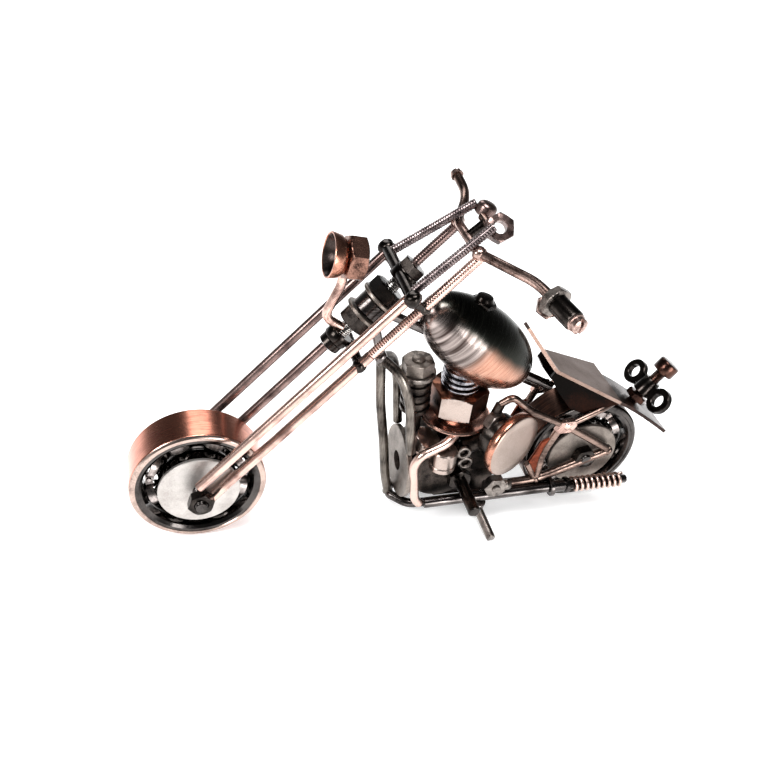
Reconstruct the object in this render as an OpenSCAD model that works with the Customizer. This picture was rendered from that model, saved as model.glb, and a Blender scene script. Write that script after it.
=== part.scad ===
// Hand-made chopper motorcycle, welded up from plated steel nuts, bolts, washers, wire and ball bearings.
// Millimetres. -X is forward, +Z is up, and Z = 0 is the table. The bike stands on its two wheels and its side stand.
// Points written [x, y, z] count from the ground under the front axle; place() moves the whole bike to its own middle.

/* [Wheels] */
// Outside radius of the ball bearing that makes each wheel
wheel_r = 16; // [15:0.25:17]
// Width of each wheel bearing
wheel_w = 10.4; // [9.6:0.1:10.6]
// Distance between the two axles
wheelbase = 99.5; // [97:0.5:103]
// Ball diameter
ball_d = 5.6; // [5.2:0.1:6]
// Balls in each bearing
ball_count = 8; // [6:1:9]
// Radius of the circle through the ball centres
ball_circle_r = 11.2; // [10.9:0.1:11.5]
// Diameter of the axle screws
axle_d = 3; // [2.6:0.1:3.2]
// Radius of the large plain washers
washer_r = 9.6; // [9:0.1:10]
// Thickness of the large plain washers
washer_t = 1; // [0.7:0.1:1.1]

/* [Fork and steering] */
// Angle of the fork above the ground
rake = 48; // [46:0.5:50]
// Diameter of the fork wires
fork_wire_d = 2.4; // [2:0.1:2.6]
// Half the distance between the two front fork wires
fork_half_w = 9.65; // [9.4:0.05:10]
// Half the distance between the two rear fork wires
fork_rear_half_w = 7.55; // [7.5:0.05:7.8]
// Distance between the front and the rear fork wires, across the fork
fork_gap = 6; // [5.9:0.05:6.4]
// Height of the fork bridge above the axle, measured up the fork
bridge_q = 69.4; // [67:0.1:72]
// Height of the handlebar above the axle, measured up the fork
bar_q = 85.2; // [84:0.1:87]
// Diameter of the steering stem screw
stem_d = 3; // [2.6:0.1:3.2]
// Distance of the frame's neck below the fork bridge
neck_drop = 9.8; // [9.2:0.1:10]
// Length of the frame's neck
neck_len = 3.6; // [3:0.1:3.9]
// Diameter of the handlebar wire
bar_wire_d = 2.2; // [1.8:0.1:2.4]
// Reach of the near grip's end from the middle
grip_reach = 35; // [33:0.5:38]
// Radius of the headlamp cup
lamp_r = 5; // [4.6:0.1:5.3]

/* [Frame] */
// Diameter of the frame wires
frame_wire_d = 2.4; // [2:0.1:2.6]
// Height of the bottom rails' centre lines
rail_z = 3; // [2:0.1:4]
// Half the distance between the bottom rails
rail_half_w = 5; // [4.5:0.1:5.4]
// Half the distance between the two rear arms
arm_half_w = 8; // [7.9:0.1:8.4]
// How far the seat's narrow end stands in from the rear arms
seat_front_in = 3.4; // [3:0.1:4]
// How far the seat's rear edge stands out past the rear arms
seat_rear_out = 0.4; // [0:0.1:1]
// Thickness of the bent sheet of the seat and the fender
sheet_t = 0.9; // [0.6:0.1:1]
// Width of the rear fender
fender_w = 12; // [10:0.5:13]

/* [Tank and engine] */
// Half the length of the fuel tank
tank_half_l = 18; // [17.2:0.1:18.6]
// Radius of the fuel tank at its middle
tank_r = 9.25; // [8.8:0.05:9.6]
// Slope of the fuel tank, falling to the rear
tank_slope = 38; // [36:0.5:40]
// Distance of the engine's middle behind the front axle
engine_x = 63.6; // [63:0.1:64.4]
// Size across the flats of the rear cylinder's nut
cyl_nut_af = 13; // [12:0.5:13.5]
// Radius of the dished washer under the rear cylinder
dish_r = 9.2; // [8.6:0.1:9.6]
// Radius of the engine's round side cover
cover_r = 8.8; // [8.2:0.1:9.2]
// Diameter of the exhaust pipe
exhaust_d = 2.8; // [2.4:0.1:3]
// Outside diameter of the coil on the exhaust
coil_d = 4.2; // [3.8:0.1:4.4]
// Wire diameter of that coil
coil_wire_d = 0.8; // [0.6:0.05:0.9]
// Number of curls in that coil
coil_turns = 9; // [7:1:9]

/* [Tail and stand] */
// Distance of the wing nut's rings from the middle
wing_ring_y = 6.5; // [6:0.1:7]
// Outside radius of those rings
wing_ring_r = 3.4; // [3:0.1:3.6]
// Angle of the tail screw above the ground
tail_angle = 56; // [52:1:58]
// Reach of the side stand's foot from the middle
stand_reach = 18.4; // [16:0.2:20]

/* [Hidden] */
$fn = 48;
run_gap = 0.05; // radial clearance of everything that turns on a screw or in a race
part_gap = 0.3; // clearance between pieces that move past each other
thin_gap = 0.02; // clearance of a plain push fit
eps = 0.01;

// Wheels
axle_z = wheel_r;
rear_x = wheelbase;
wheel_top = axle_z + wheel_r;
axle_r = axle_d / 2;
ball_r = ball_d / 2;
race_r = ball_r + run_gap;
outer_land_r = ball_circle_r + 1.9; // inside radius of the outer ring's shoulders
inner_land_r = ball_circle_r - 2.3; // outside radius of the inner ring's shoulders
hub_bore_r = 6;
cage_half_w = ball_r + 0.35;
cage_wall = 1.3;
side_y = wheel_w / 2 + thin_gap; // where the side washers start
nut_s_af = 5.5; // small nut, across the flats
nut_s_h = 2.4;
nut_m_af = 7; // middle nut
nut_m_h = 3.2;

// Steering frame: p runs across the fork (backwards), q runs up it, and p = 0 is the stem's centre line
wire_r = fork_wire_d / 2;
lean = 90 - rake;
front_wire_p = -1.4;
rear_wire_p = front_wire_p + fork_gap;
axle_p = rear_wire_p - wire_r - axle_r - run_gap;
function fork_point(p, y, q) =
    [(p - axle_p) * cos(lean) + q * sin(lean), y, axle_z - (p - axle_p) * sin(lean) + q * cos(lean)];
stem_r = stem_d / 2;
stem_low_q = bridge_q - 18.8; // upper face of the collar at the stem's foot
neck_q = bridge_q - neck_drop;
bar_p = rear_wire_p - 1;
arm_elbow = [8.5, -21, bar_q + 5.5];
grip_in = arm_elbow + [2.2, -4.5, 0.6]; // inner end of the near grip
grip_dir = unit([2.05, -9.5, 0.85]);
grip_len = (grip_reach + grip_in[1]) / -grip_dir[1];
grip_r = 2.2;
grip_screw_r = 1.75;
grip_screw_h = 2;
far_tip = [bar_p - 0.2, 20.5, bar_q + 5.85];
far_tip_dir = unit([-1.2, 3.7, 0.5]);
far_end_r = bar_wire_d / 2 + 0.2;
far_end_h = 1.6;
gauge_p = 4.6;
gauge_q = bar_q + 6.4;
gauge_y = 4.2;
lamp_q = bridge_q - 5.2;
lamp_p = -13.6;
lamp_len = 3.6;
lamp_up = 10; // how far the lamp looks up from level
lamp_nut_h = 4;

// Frame points
engine_z = 30.6; // seat of the rear cylinder's nut
frame_r = frame_wire_d / 2;
neck_centre = fork_point(0, 0, neck_q);
knot = [42.4, 0, 47.2];
tank_centre = [engine_x + 1.85, 0, engine_z + 19.86];
tank_bore_r = frame_r + run_gap;
backbone_end = [rear_x - 11, 0, wheel_top + 2.8];
seat_front = [rear_x - 13.6, 0, wheel_top + 10.6];
seat_rear = [rear_x + 4.8, 0, wheel_top + 1.9];
seat_nose = [rear_x - 22.2, 0, wheel_top + 21.6];
plate = [rear_x - 8.9, -arm_half_w, wheel_top - 3.7];
seat_front_half_w = arm_half_w - seat_front_in;
seat_rear_half_w = arm_half_w + seat_rear_out;
arm_front = [rear_x - 27.5, -arm_half_w, 10];
arm_bend = [rear_x - 13.5, -arm_half_w, 10];
arm_end = [rear_x + 6.1, -arm_half_w, axle_z + 2.2];
rail_front_x = 54.5;
rail_rear_x = rear_x - 15.5;

// Engine points
crank = [engine_x - 3.6, 0, 15];
crank_r = 8.2;
crank_half_w = 6.6;
cover_c = [engine_x + 12.9, -arm_half_w - 3, 25.2];
cover_turn = 27;
cover_t = 2.8;
front_washer_x = 50.3;
front_foot = [53.3, 0, 21.4]; // lower end of the front cylinder's rod
front_lean = 3.6;
front_cyl_h = 21.4;
cyl_nut_h = 6.8;
dish_h = 4.6; // height of the dished washer's hub
exhaust_start = [rail_front_x + 0.3, -arm_half_w - 0.6, 6.4];
exhaust_end = [rear_x - 9.7, -arm_half_w - 2, 8.8];
stub_start = exhaust_end + [1.1, 0, 0.1];
stub_r = 1.2;
coil_x = 4.4; // from the start of the stub to the shoulder that the coil stands on

// Tail
fender_low = [rear_x + wheel_r + 7.4, axle_z + 4.9];
fender_mid = [rear_x + wheel_r - 6.4, wheel_top - 0.4];
fender_top = [rear_x + 2.6, wheel_top + 2.2];
function fender_at(t) = (1 - t) * (1 - t) * fender_top + 2 * t * (1 - t) * fender_mid + t * t * fender_low;
tail_foot = fender_at(0.65) + [0.03, 0.6];
tail_hub_s = 5.2;
tail_hub_r = 2.7;
tail_hub_len = 4.6;
tail_screw_r = 1.5;
tail_head_s = 10.4;
tail_head_h = 3.4;
tail_head_r = 2.9;
stand_pivot = [rear_x - 28.5, -rail_half_w - 3.7, rail_z + 0.4];
stand_r = 1.2;
stand_foot = [stand_pivot[0] + 1.2, -stand_reach, stand_r - 0.35];

tail_x = tail_foot[0] + (tail_head_s + tail_head_h) * cos(tail_angle) + tail_head_r * sin(tail_angle);
mid_x = (tail_x - wheel_r) / 2;
near_y = -grip_reach - grip_screw_r * sqrt(1 - grip_dir[1] * grip_dir[1]);
far_y = far_tip[1] + far_end_h * far_tip_dir[1] + far_end_r * sqrt(1 - far_tip_dir[1] * far_tip_dir[1]);
mid_y = (near_y + far_y) / 2;

copper = "#b4694a";
gunmetal = "#3b3836";
steel = "#b9b7b3";
bronze = "#6b4a3c";

// ---- shared shapes ----

module place() {
    translate([-mid_x, -mid_y, 0]) children();
}

module mirrored_y() {
    children();
    mirror([0, 1, 0]) children();
}

// Turns +Z to the direction from a to b and puts it at a
module along(a, b) {
    d = b - a;
    translate(a)
        rotate([0, acos(d[2] / norm(d)), atan2(d[1], d[0])])
            children();
}

module rod(a, b, r) {
    along(a, b) cylinder(r = r, h = norm(b - a));
}

function unit(v) = v / norm(v);

// A wire bent at each point of a path; a small ball closes every bend, its poles square to the bend
module wire(path, r) {
    for (i = [0 : len(path) - 2]) rod(path[i], path[i + 1], r);
    for (i = [1 : len(path) - 2])
        let (
            a = unit(path[i] - path[i - 1]), b = unit(path[i + 1] - path[i]),
            x = unit(a - b), z = unit(cross(a, b)), y = cross(z, x), p = path[i]
        )
            multmatrix([for (k = [0 : 2]) [x[k], y[k], z[k], p[k]]]) sphere(r = r * 1.1);
}

module steering() {
    translate([0, 0, axle_z]) rotate([0, lean, 0]) translate([-axle_p, 0, 0]) children();
}

// Hexagon with both faces chamfered, and a bore
module hex_nut(af, h, bore_r) {
    corner = af / sqrt(3);
    flat = af / 2;
    chamfer = (corner - flat) * 0.6;
    difference() {
        intersection() {
            cylinder(r = corner, h = h, $fn = 6);
            rotate_extrude()
                polygon([[0, 0], [flat, 0], [corner, chamfer], [corner, h - chamfer], [flat, h], [0, h]]);
        }
        if (bore_r > 0) translate([0, 0, -1]) cylinder(r = bore_r, h = h + 2);
    }
}

module washer(r, bore_r, t) {
    difference() {
        cylinder(r = r, h = t);
        translate([0, 0, -1]) cylinder(r = bore_r, h = t + 2);
    }
}

// Lays a piece built along +Z along +Y, centred on the axle
module on_axle(x) {
    translate([x, 0, axle_z]) rotate([-90, 0, 0]) children();
}

// ---- ball bearing wheels ----

module outer_ring() {
    half = wheel_w / 2;
    lip = 0.7;
    rotate_extrude($fn = 96)
        difference() {
            polygon([
                [outer_land_r, -half + lip], [outer_land_r + lip, -half], [wheel_r - lip, -half],
                [wheel_r, -half + lip], [wheel_r, half - lip], [wheel_r - lip, half],
                [outer_land_r + lip, half], [outer_land_r, half - lip]
            ]);
            translate([ball_circle_r, 0]) circle(r = race_r);
        }
}

module inner_ring() {
    half = wheel_w / 2;
    rotate_extrude($fn = 96)
        difference() {
            translate([hub_bore_r, -half]) square([inner_land_r - hub_bore_r, wheel_w]);
            translate([ball_circle_r, 0]) circle(r = race_r);
        }
}

module balls() {
    for (i = [0 : ball_count - 1])
        rotate([0, 0, (i + 0.5) * 360 / ball_count]) translate([ball_circle_r, 0, 0]) sphere(r = ball_r);
}

module cage() {
    difference() {
        translate([0, 0, -cage_half_w])
            washer(ball_circle_r + cage_wall / 2, ball_circle_r - cage_wall / 2, 2 * cage_half_w);
        for (i = [0 : ball_count - 1])
            rotate([0, 0, (i + 0.5) * 360 / ball_count])
                translate([inner_land_r, 0, 0]) rotate([0, 90, 0])
                    cylinder(r = ball_r + thin_gap, h = outer_land_r - inner_land_r);
    }
}

// Plain washers that clamp the inner ring, with the spacer between them
module side_washers() {
    bore = axle_r + thin_gap;
    for (s = [-1, 1]) translate([0, 0, s > 0 ? side_y : -side_y - washer_t]) washer(washer_r, bore, washer_t);
    translate([0, 0, -wheel_w / 2]) washer(hub_bore_r - thin_gap, bore, wheel_w);
}

// ---- frame ----

module backbone() {
    color(gunmetal) {
        difference() {
            union() {
                rod(neck_centre, backbone_end, frame_r);
                rod(fork_point(0, 0, neck_q), knot, frame_r);
                place_neck() cylinder(r = nut_m_af / 2, h = neck_len, $fn = 48);
            }
            place_neck() translate([0, 0, -1]) cylinder(r = stem_r + run_gap, h = neck_len + 2);
            place_neck() translate([0, 0, -3]) cylinder(r = nut_m_af, h = 3);
            place_neck() translate([0, 0, neck_len]) cylinder(r = nut_m_af, h = 3);
        }
    }
}

module place_neck() {
    steering() translate([0, 0, neck_q - neck_len / 2]) children();
}

module down_tubes() {
    bow = [front_washer_x - 1.2, 0, rail_z];
    color(steel) {
        wire([knot, [43.6, 0, 34.4], [46, 0, 21], [47.6, 0, 9.5], bow], frame_r);
        mirrored_y() wire([knot, [46.6, -4.2, 44.6], [49.2, -6, 37], [51.2, -6.2, 22]], frame_r);
    }
}

// One wire, bent round the front of the engine and back along both sides
module bottom_rails() {
    side = [
        [front_washer_x - 1, -1.3, rail_z + 0.3], [rail_front_x - 1.3, -rail_half_w, rail_z], [rail_rear_x, -rail_half_w, rail_z],
        [rail_rear_x + 5, -arm_half_w, arm_bend[2] - 0.2]
    ];
    far = [for (i = [3 : -1 : 0]) [side[i][0], -side[i][1], side[i][2]]];
    color(gunmetal) wire(concat(far, side), frame_r);
}

module rear_arms() {
    color(steel) mirrored_y() {
        wire([arm_front, arm_bend, arm_end], frame_r);
        rod(plate + [1, 0, -0.6], arm_end + [0.2, 0, 0.2], frame_r * 0.85);
        wire([plate + [-1.5, 0, -1.5], [rear_x - 13, -arm_half_w, 19.5], arm_bend + [0.6, 0, 0.3]], frame_r * 0.85);
        rod([rear_x - 16.8, -arm_half_w, 16.4], arm_bend + [0.2, 0, 0.4], frame_r * 0.75);
    }
}

module upper_stays() {
    color(steel) mirrored_y()
        wire([
            plate + [-1, 0, 0.5], plate + [-10.9, 0, 5.7], plate + [-15.7, 1, 9.7],
            [engine_x + 8.8, -arm_half_w + 1.8, 35.4]
        ], frame_r * 0.8);
}

module stay_plates() {
    color(copper) mirrored_y()
        translate(plate) rotate([90, 0, 0]) translate([0, 0, -0.6])
            linear_extrude(1.6) polygon([[-2.6, -1.2], [-1.4, 1.6], [2.2, 1.8], [3, 0.4], [2, -1.8], [-1.6, -2]]);
    color(bronze) mirrored_y()
        translate([arm_bend[0], -arm_half_w + 0.4, arm_bend[2]]) rotate([90, 0, 0])
            linear_extrude(0.8) polygon([[-0.4, 2], [-0.4, 9.2], [1.8, 14.8], [-0.6, 13.4], [-2.9, 6.8]]);
}

module fender_stays() {
    end = fender_at(0.2) + [0.33, 0.16];
    color(copper) mirrored_y()
        wire([
            plate + [2.4, 0, 0.6], plate + [10, 0.2, 4.2], [end[0], -fender_w / 2 + 0.6, end[1]]
        ], frame_r * 0.65);
}

// ---- tank, seat and tail ----

// Half outline of the tank, blunter at the rear, grown by a gap
function tank_outline(n, gap) = [
    for (i = [0 : n])
        let (t = 180 * i / n)
            [(tank_r + gap) * sin(t) * (1 - 0.06 * cos(t)), -(tank_half_l + gap) * cos(t)]
];

module tank_body(gap) {
    tank_axis() rotate_extrude($fn = 64) polygon(tank_outline(28, gap));
}

module tank_axis() {
    translate(tank_centre) rotate([0, 90 + tank_slope, 0]) children();
}

module fuel_tank() {
    color(copper) difference() {
        tank_body(0);
        rod(neck_centre, backbone_end, tank_bore_r);
        tank_cap_axis() translate([0, 0, -0.4]) cylinder(r = nut_s_af / 2 + 0.6, h = 3);
    }
}

module tank_cap_axis() {
    translate(tank_centre + [-0.23, 0, 10.32]) rotate([0, 10, 0]) translate([0, 0, -1.2]) children();
}

module tank_cap() {
    slot = 0.7;
    color(gunmetal) tank_cap_axis() {
        translate([0, 0, -0.4]) hex_nut(nut_s_af, nut_s_h, 0);
        difference() {
            translate([0, 0, nut_s_h - 0.4 - eps]) cylinder(r1 = 2.2, r2 = 1.7, h = 1.2);
            translate([-3, -slot / 2, nut_s_h + 0.2]) cube([6, slot, 2]);
        }
    }
}

module seat() {
    t = sheet_t;
    drop = atan((seat_front[2] - seat_rear[2]) / (seat_rear[0] - seat_front[0]));
    length = norm(seat_rear - seat_front);
    rise = norm(seat_nose - seat_front);
    nose_turn = atan((seat_nose[2] - seat_front[2]) / (seat_front[0] - seat_nose[0]));
    nose_half_w = 1.3;
    skirt = [[-0.3, 0], [length * 0.98, 0], [length * 0.66, -6.6], [length * 0.48, -6.9], [length * 0.2, -4.2], [0, -1.6]];
    color(copper) difference() {
        translate(seat_front) rotate([0, drop, 0]) {
            linear_extrude(t) polygon([
                [0, -seat_front_half_w], [length, -seat_rear_half_w], [length, seat_rear_half_w], [0, seat_front_half_w]
            ]);
            translate([0.35, 0, t * 0.9]) rotate([0, nose_turn - drop - 180, 0]) mirror([0, 0, 1])
                linear_extrude(t) polygon([
                    [0, -seat_front_half_w], [rise, -nose_half_w], [rise, nose_half_w], [0, seat_front_half_w]
                ]);
            yaw = atan((seat_rear_half_w - seat_front_half_w) / length);
            mirrored_y()
                translate([0, -seat_front_half_w, 0.2]) rotate([0, 0, -yaw]) rotate([90, 0, 0]) translate([0, 0, -t])
                    linear_extrude(t) polygon(skirt);
        }
        rod(neck_centre, backbone_end + (backbone_end - neck_centre) * 0.06, tank_bore_r);
    }
}

// A strip that follows a path in XZ, t thick and w wide
module strip(path, t, w) {
    n = len(path);
    function side(i) =
        let (a = path[max(i - 1, 0)], b = path[min(i + 1, n - 1)], d = (b - a) / norm(b - a)) [-d[1], d[0]] * t / 2;
    translate([0, w / 2, 0]) rotate([90, 0, 0]) linear_extrude(w)
        polygon(concat([for (i = [0 : n - 1]) path[i] + side(i)], [for (i = [n - 1 : -1 : 0]) path[i] - side(i)]));
}

// The fender's path: two straight runs joined by an arc
function fender_path() = [
    for (i = [0 : 12])
        fender_at(i / 12) + (i == 0 ? [-1.5, 0.3] : [0, 0])
];

module rear_fender() {
    color(bronze) difference() {
        strip(fender_path(), sheet_t, fender_w);
        tail_axis() translate([0, 0, -6]) cylinder(r = tail_screw_r + thin_gap, h = 12);
    }
}

module tail_axis() {
    translate([tail_foot[0], 0, tail_foot[1]]) rotate([0, 90 - tail_angle, 0]) children();
}

module tail_screw() {
    color(copper) tail_axis() {
        translate([0, 0, -1]) cylinder(r = tail_screw_r, h = tail_head_s + 1 + eps);
        translate([0, 0, 0.6]) hex_nut(nut_s_af, 1.7, 0);
        translate([0, 0, tail_head_s]) cylinder(r = tail_head_r, h = tail_head_h);
    }
}

module wing_nut() {
    t = 1.7;
    color(gunmetal) tail_axis() translate([0, 0, tail_hub_s]) difference() {
        union() {
            translate([0, 0, -tail_hub_len / 2]) cylinder(r1 = tail_hub_r, r2 = tail_hub_r * 0.85, h = tail_hub_len);
            mirrored_y() {
                rotate([0, 90, 0]) translate([0, wing_ring_y, -t / 2]) cylinder(r = wing_ring_r, h = t);
                translate([-t / 2, 0, -tail_hub_len * 0.36]) cube([t, wing_ring_y - wing_ring_r * 0.6, tail_hub_len * 0.72]);
            }
        }
        mirrored_y()
            rotate([0, 90, 0]) translate([0, wing_ring_y + 0.2, -t]) cylinder(r = wing_ring_r * 0.52, h = 2 * t);
        translate([0, 0, -tail_hub_len]) cylinder(r = tail_screw_r + run_gap, h = 2 * tail_hub_len);
    }
}

// ---- engine ----

module crankcase() {
    top = crank[2] + 7;
    sump_half_w = crank_half_w - 2.4;
    color(gunmetal) {
        difference() {
            translate(crank) rotate([90, 0, 0]) cylinder(r = crank_r, h = 2 * crank_half_w, center = true);
            translate([crank[0] - 20, -20, top]) cube([40, 40, 10]);
        }
        translate([engine_x, 0, top - eps]) cylinder(r = 3.6, h = engine_z - dish_h - top + eps);
        translate([crank[0], -sump_half_w, rail_z + frame_r]) cube([16, 2 * sump_half_w, crank[2] - rail_z - 4]);
    }
    color(steel) {
        translate([crank[0] - 0.5, -crank_half_w - 0.8, crank[2] + 2.4]) cylinder(r = 3.3, h = 6);
        translate([front_foot[0] + 1.7, -3.6, front_foot[2] + 0.2]) rotate([16, 24, 0]) hex_nut(nut_m_af, nut_m_h, 0);
    }
}

module front_plate_washer() {
    hole_r = 2.6;
    t = 1.4;
    color(steel) translate([front_washer_x, 0, 14.1]) rotate([0, 90, 0]) washer(washer_r - 0.2, hole_r, t);
    color(gunmetal) translate([front_washer_x + t, 0, 14.1]) rotate([0, 90, 0])
        washer(4, hole_r - 0.6, crank[0] - crank_r - front_washer_x - t + 0.5);
}

// +Z of this frame runs up the front cylinder
module front_cylinder_axis() {
    translate(front_foot) rotate([0, -front_lean, 0]) children();
}

module front_cylinder() {
    low = 9.6; // length of the bare rod below the fins
    color(gunmetal) front_cylinder_axis() {
        cylinder(r = 1.9, h = low + eps);
        translate([0, 0, low]) cylinder(r = 3.2, h = front_cyl_h - low - 1.1);
        for (i = [0 : 3]) translate([0, 0, low + 0.4 + i * 2.4]) cylinder(r = 3.7, h = 1.1);
    }
    color(steel) front_cylinder_axis()
        translate([0, 0, front_cyl_h - 1.1 - eps]) cylinder(r = 4.5, h = 1.1);
}

module front_cylinder_nut() {
    color(steel) front_cylinder_axis() translate([0, 0, front_cyl_h]) {
        hex_nut(nut_m_af, nut_m_h, 0);
        translate([0, 0, nut_m_h - eps]) cylinder(r = 1.6, h = 0.7);
    }
}

module rear_cylinder_nut() {
    h = cyl_nut_h;
    color(steel) translate([engine_x, 0, engine_z]) rotate([0, 0, 36]) difference() {
        hex_nut(cyl_nut_af, h, 0);
        translate([0, 0, h - 1]) cylinder(r = 3.4, h = 2);
    }
}

module rear_cylinder_rings() {
    ring_r = 5;
    pitch = 1.6;
    base = engine_z + cyl_nut_h;
    color(steel) difference() {
        translate([engine_x, 0, base]) {
            translate([0, 0, -1 + thin_gap]) cylinder(r = 3.3, h = 9);
            for (i = [0 : 4]) translate([0, 0, thin_gap + i * pitch]) cylinder(r = ring_r, h = 1.1);
        }
        tank_body(thin_gap);
    }
}

module dished_washer() {
    color(copper) translate([engine_x, 0, engine_z - dish_h]) rotate_extrude($fn = 64)
        polygon([
            [1.6, 0], [4.4, 0], [7.6, 1.1], [dish_r, 2.6], [dish_r - 0.5, 3.2], [7.2, 2], [4.6, 1.2],
            [4.6, dish_h], [1.6, dish_h]
        ]);
}

module cover_axis() {
    translate(cover_c) rotate([0, 0, cover_turn]) rotate([90, 0, 0]) children();
}

module side_cover() {
    color(copper) cover_axis() translate([0, 0, -cover_t]) rotate_extrude($fn = 64)
        polygon([
            [0, 0], [cover_r - 0.9, 0], [cover_r, 0.9], [cover_r, cover_t - 0.8], [cover_r - 0.8, cover_t], [0, cover_t]
        ]);
}

module cover_block() {
    color(gunmetal) {
        cover_axis() translate([-1.5, 1, -cover_t - 3.4]) cylinder(r = 6, h = 3.4);
        rod(cover_c + [-1.5, 6, 1], [crank[0] + 6, -4, crank[2] + 5.6], 2.4);
        translate([engine_x + 7.4, -6.2, 30.6]) rotate([90, 0, 20]) hex_nut(nut_s_af, nut_s_h, 0);
        rod([engine_x + 7.4, -6.4, 31], [engine_x + 8.8, -6.2, 35.4], 1.2);
        rod([engine_x + 7.4, -6.6, 30.4], cover_c + [-3, 3.6, -0.5], 1.4);
    }
}

module header_pipe() {
    color(copper) {
        wire([
            [engine_x - 1.6, -crank_half_w, 27.2], [engine_x - 4.6, -arm_half_w - 0.4, 25.6],
            [rail_front_x - 1.5, -arm_half_w - 1, 23.4], [rail_front_x - 3.1, -arm_half_w - 1, 20.2],
            [rail_front_x - 1.3, -arm_half_w - 0.8, 8.6], exhaust_start
        ], 1.15);
    }
}

module exhaust_pipe() {
    color(gunmetal) {
        rod(exhaust_start + [1.2, 0, 0], exhaust_end, exhaust_d / 2);
        along(exhaust_end, exhaust_end + (exhaust_end - exhaust_start)) cylinder(r = 2.5, h = 1.2);
    }
}

module exhaust_stub() {
    color(gunmetal) translate(stub_start) rotate([0, 90, 0]) {
        cylinder(r = stub_r, h = 21.6);
        cylinder(r = 1.6, h = coil_x - 1);
        translate([0, 0, coil_x - 1 - eps]) cylinder(r = coil_d / 2 + 0.1, h = 1 + eps);
    }
}

// One open coil as a single tube: 8 rings a curl, 6 sides. Both ends turn out of the curl and run
// straight along the stub for one wire diameter; the front one stands square on the stub's shoulder.
coil_r = (coil_d - coil_wire_d) / 2;
coil_len = 14.4;
coil_pitch = coil_len / coil_turns;
coil_rings = coil_turns * 8;
bend_r = 0.65 * coil_wire_d;
bend_a = bend_r / coil_r * 180 / PI; // angle round the stub that the end bend takes
climb = atan(coil_pitch / (2 * PI * coil_r));
coil_x0 = coil_wire_d + bend_r; // where the curls begin, from the shoulder
// Each ring as [place along the stub, angle round it, turn away from the stub's direction]
coil_path = concat(
    [[0, 0, 0], [coil_wire_d, 0, 0], [coil_wire_d + bend_r * sin(40), bend_a * (1 - cos(40)), 40]],
    [for (i = [1 : coil_rings - 1]) [coil_x0 + coil_pitch * i / 8, bend_a + 45 * i, 90 - climb]],
    [for (k = [2, 1, 0])
        let (w = [0, 40, 80][k], end_x = coil_x0 + coil_len + bend_r, end_a = 2 * bend_a + 45 * coil_rings)
            [end_x - bend_r * sin(w), end_a - bend_a * (1 - cos(w)), w]],
    [[coil_x0 + coil_len + bend_r + coil_wire_d, 2 * bend_a + 45 * coil_rings, 0]]
);
function coil_centre(p) = [p[0], coil_r * cos(p[1]), coil_r * sin(p[1])];
function coil_ring(p) =
    let (
        out = [0, cos(p[1]), sin(p[1])],
        ahead = [cos(p[2]), -sin(p[1]) * sin(p[2]), cos(p[1]) * sin(p[2])],
        side = cross(ahead, out)
    )
        [for (k = [0 : 5]) coil_centre(p) + coil_wire_d / 2 * (cos(60 * k) * out + sin(60 * k) * side)];
coil_count = len(coil_path);
coil_gap = min([
    for (i = [0 : coil_count - 7], j = [i + 6 : min(i + 12, coil_count - 1)])
        norm(coil_centre(coil_path[i]) - coil_centre(coil_path[j]))
]) - coil_wire_d;
echo(least_gap_between_curls = coil_gap);

module exhaust_coil() {
    points = [for (p = coil_path) each coil_ring(p)];
    walls = [
        for (i = [0 : coil_count - 2], k = [0 : 5])
            let (a = 6 * i + k, b = 6 * i + (k + 1) % 6)
                each [[a, b, a + 6], [b, b + 6, a + 6]]
    ];
    last = 6 * (coil_count - 1);
    caps = [for (k = [1 : 4]) each [[0, k + 1, k], [last, last + k, last + k + 1]]];
    color(steel) translate(stub_start + [coil_x, 0, 0]) polyhedron(points, concat(walls, caps));
}

module foot_pegs() {
    peg = [engine_x + 1, -crank_half_w, 13.4];
    color(gunmetal) mirrored_y() {
        rod(peg + [0, 0.3, 0.2], peg + [0.6, -12.8, -1], 1.6);
        along(peg + [0, -0.6, 0], peg + [0, -2.6, 0]) hex_nut(nut_s_af, 2, 0);
    }
}

module pedal_nut() {
    color(steel) {
        translate(arm_front + [2, -frame_r + 0.2, 1.6]) rotate([90, 0, 0]) {
            hex_nut(nut_s_af, nut_s_h, 1);
            translate([0, 0, nut_s_h - 0.4]) cylinder(r = 1.1, h = 1);
        }
        translate(arm_front + [5.2, -frame_r - 0.8, 1.4]) sphere(r = 1.7);
    }
}

// Two open links welded in a row below the rear cylinder
module drive_link() {
    color(steel)
        for (i = [0 : 1])
            translate([engine_x + 1.4 + i * 0.9, -crank_half_w - 0.5, 21.2 - i * 3.4]) rotate([90, 0, 0])
                rotate_extrude() translate([1.5, 0]) circle(r = 0.55);
}

// ---- side stand ----

function stand_dir() = (stand_foot - stand_pivot) / norm(stand_foot - stand_pivot);
stand_tilt = acos(-stand_dir()[1]); // how far the stand leans down from level
stand_pin_r = 0.8;

// +Z of this frame is the pin that the stand swings on
module stand_axis() {
    translate(stand_pivot) rotate([asin(-stand_dir()[2]), 0, 0]) children();
}

module stand_lug() {
    inside = stand_r + part_gap;
    lug_t = 1;
    reach = -rail_half_w - stand_pivot[1];
    color(gunmetal) difference() {
        stand_axis() {
            for (z = [inside, -inside - lug_t]) {
                translate([0, 0, z]) cylinder(r = 1.9, h = lug_t);
                translate([-1.2, 0, z]) cube([2.4, reach, lug_t]);
            }
            translate([0, 0, -inside - lug_t]) cylinder(r = stand_pin_r, h = 2 * inside + 2 * lug_t);
            translate([-1.2, 2.3, -inside - lug_t]) cube([2.4, reach - 2.3, 2 * inside + 2 * lug_t]);
        }
        rod([60, -rail_half_w, rail_z], [80, -rail_half_w, rail_z], frame_r);
    }
}

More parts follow.
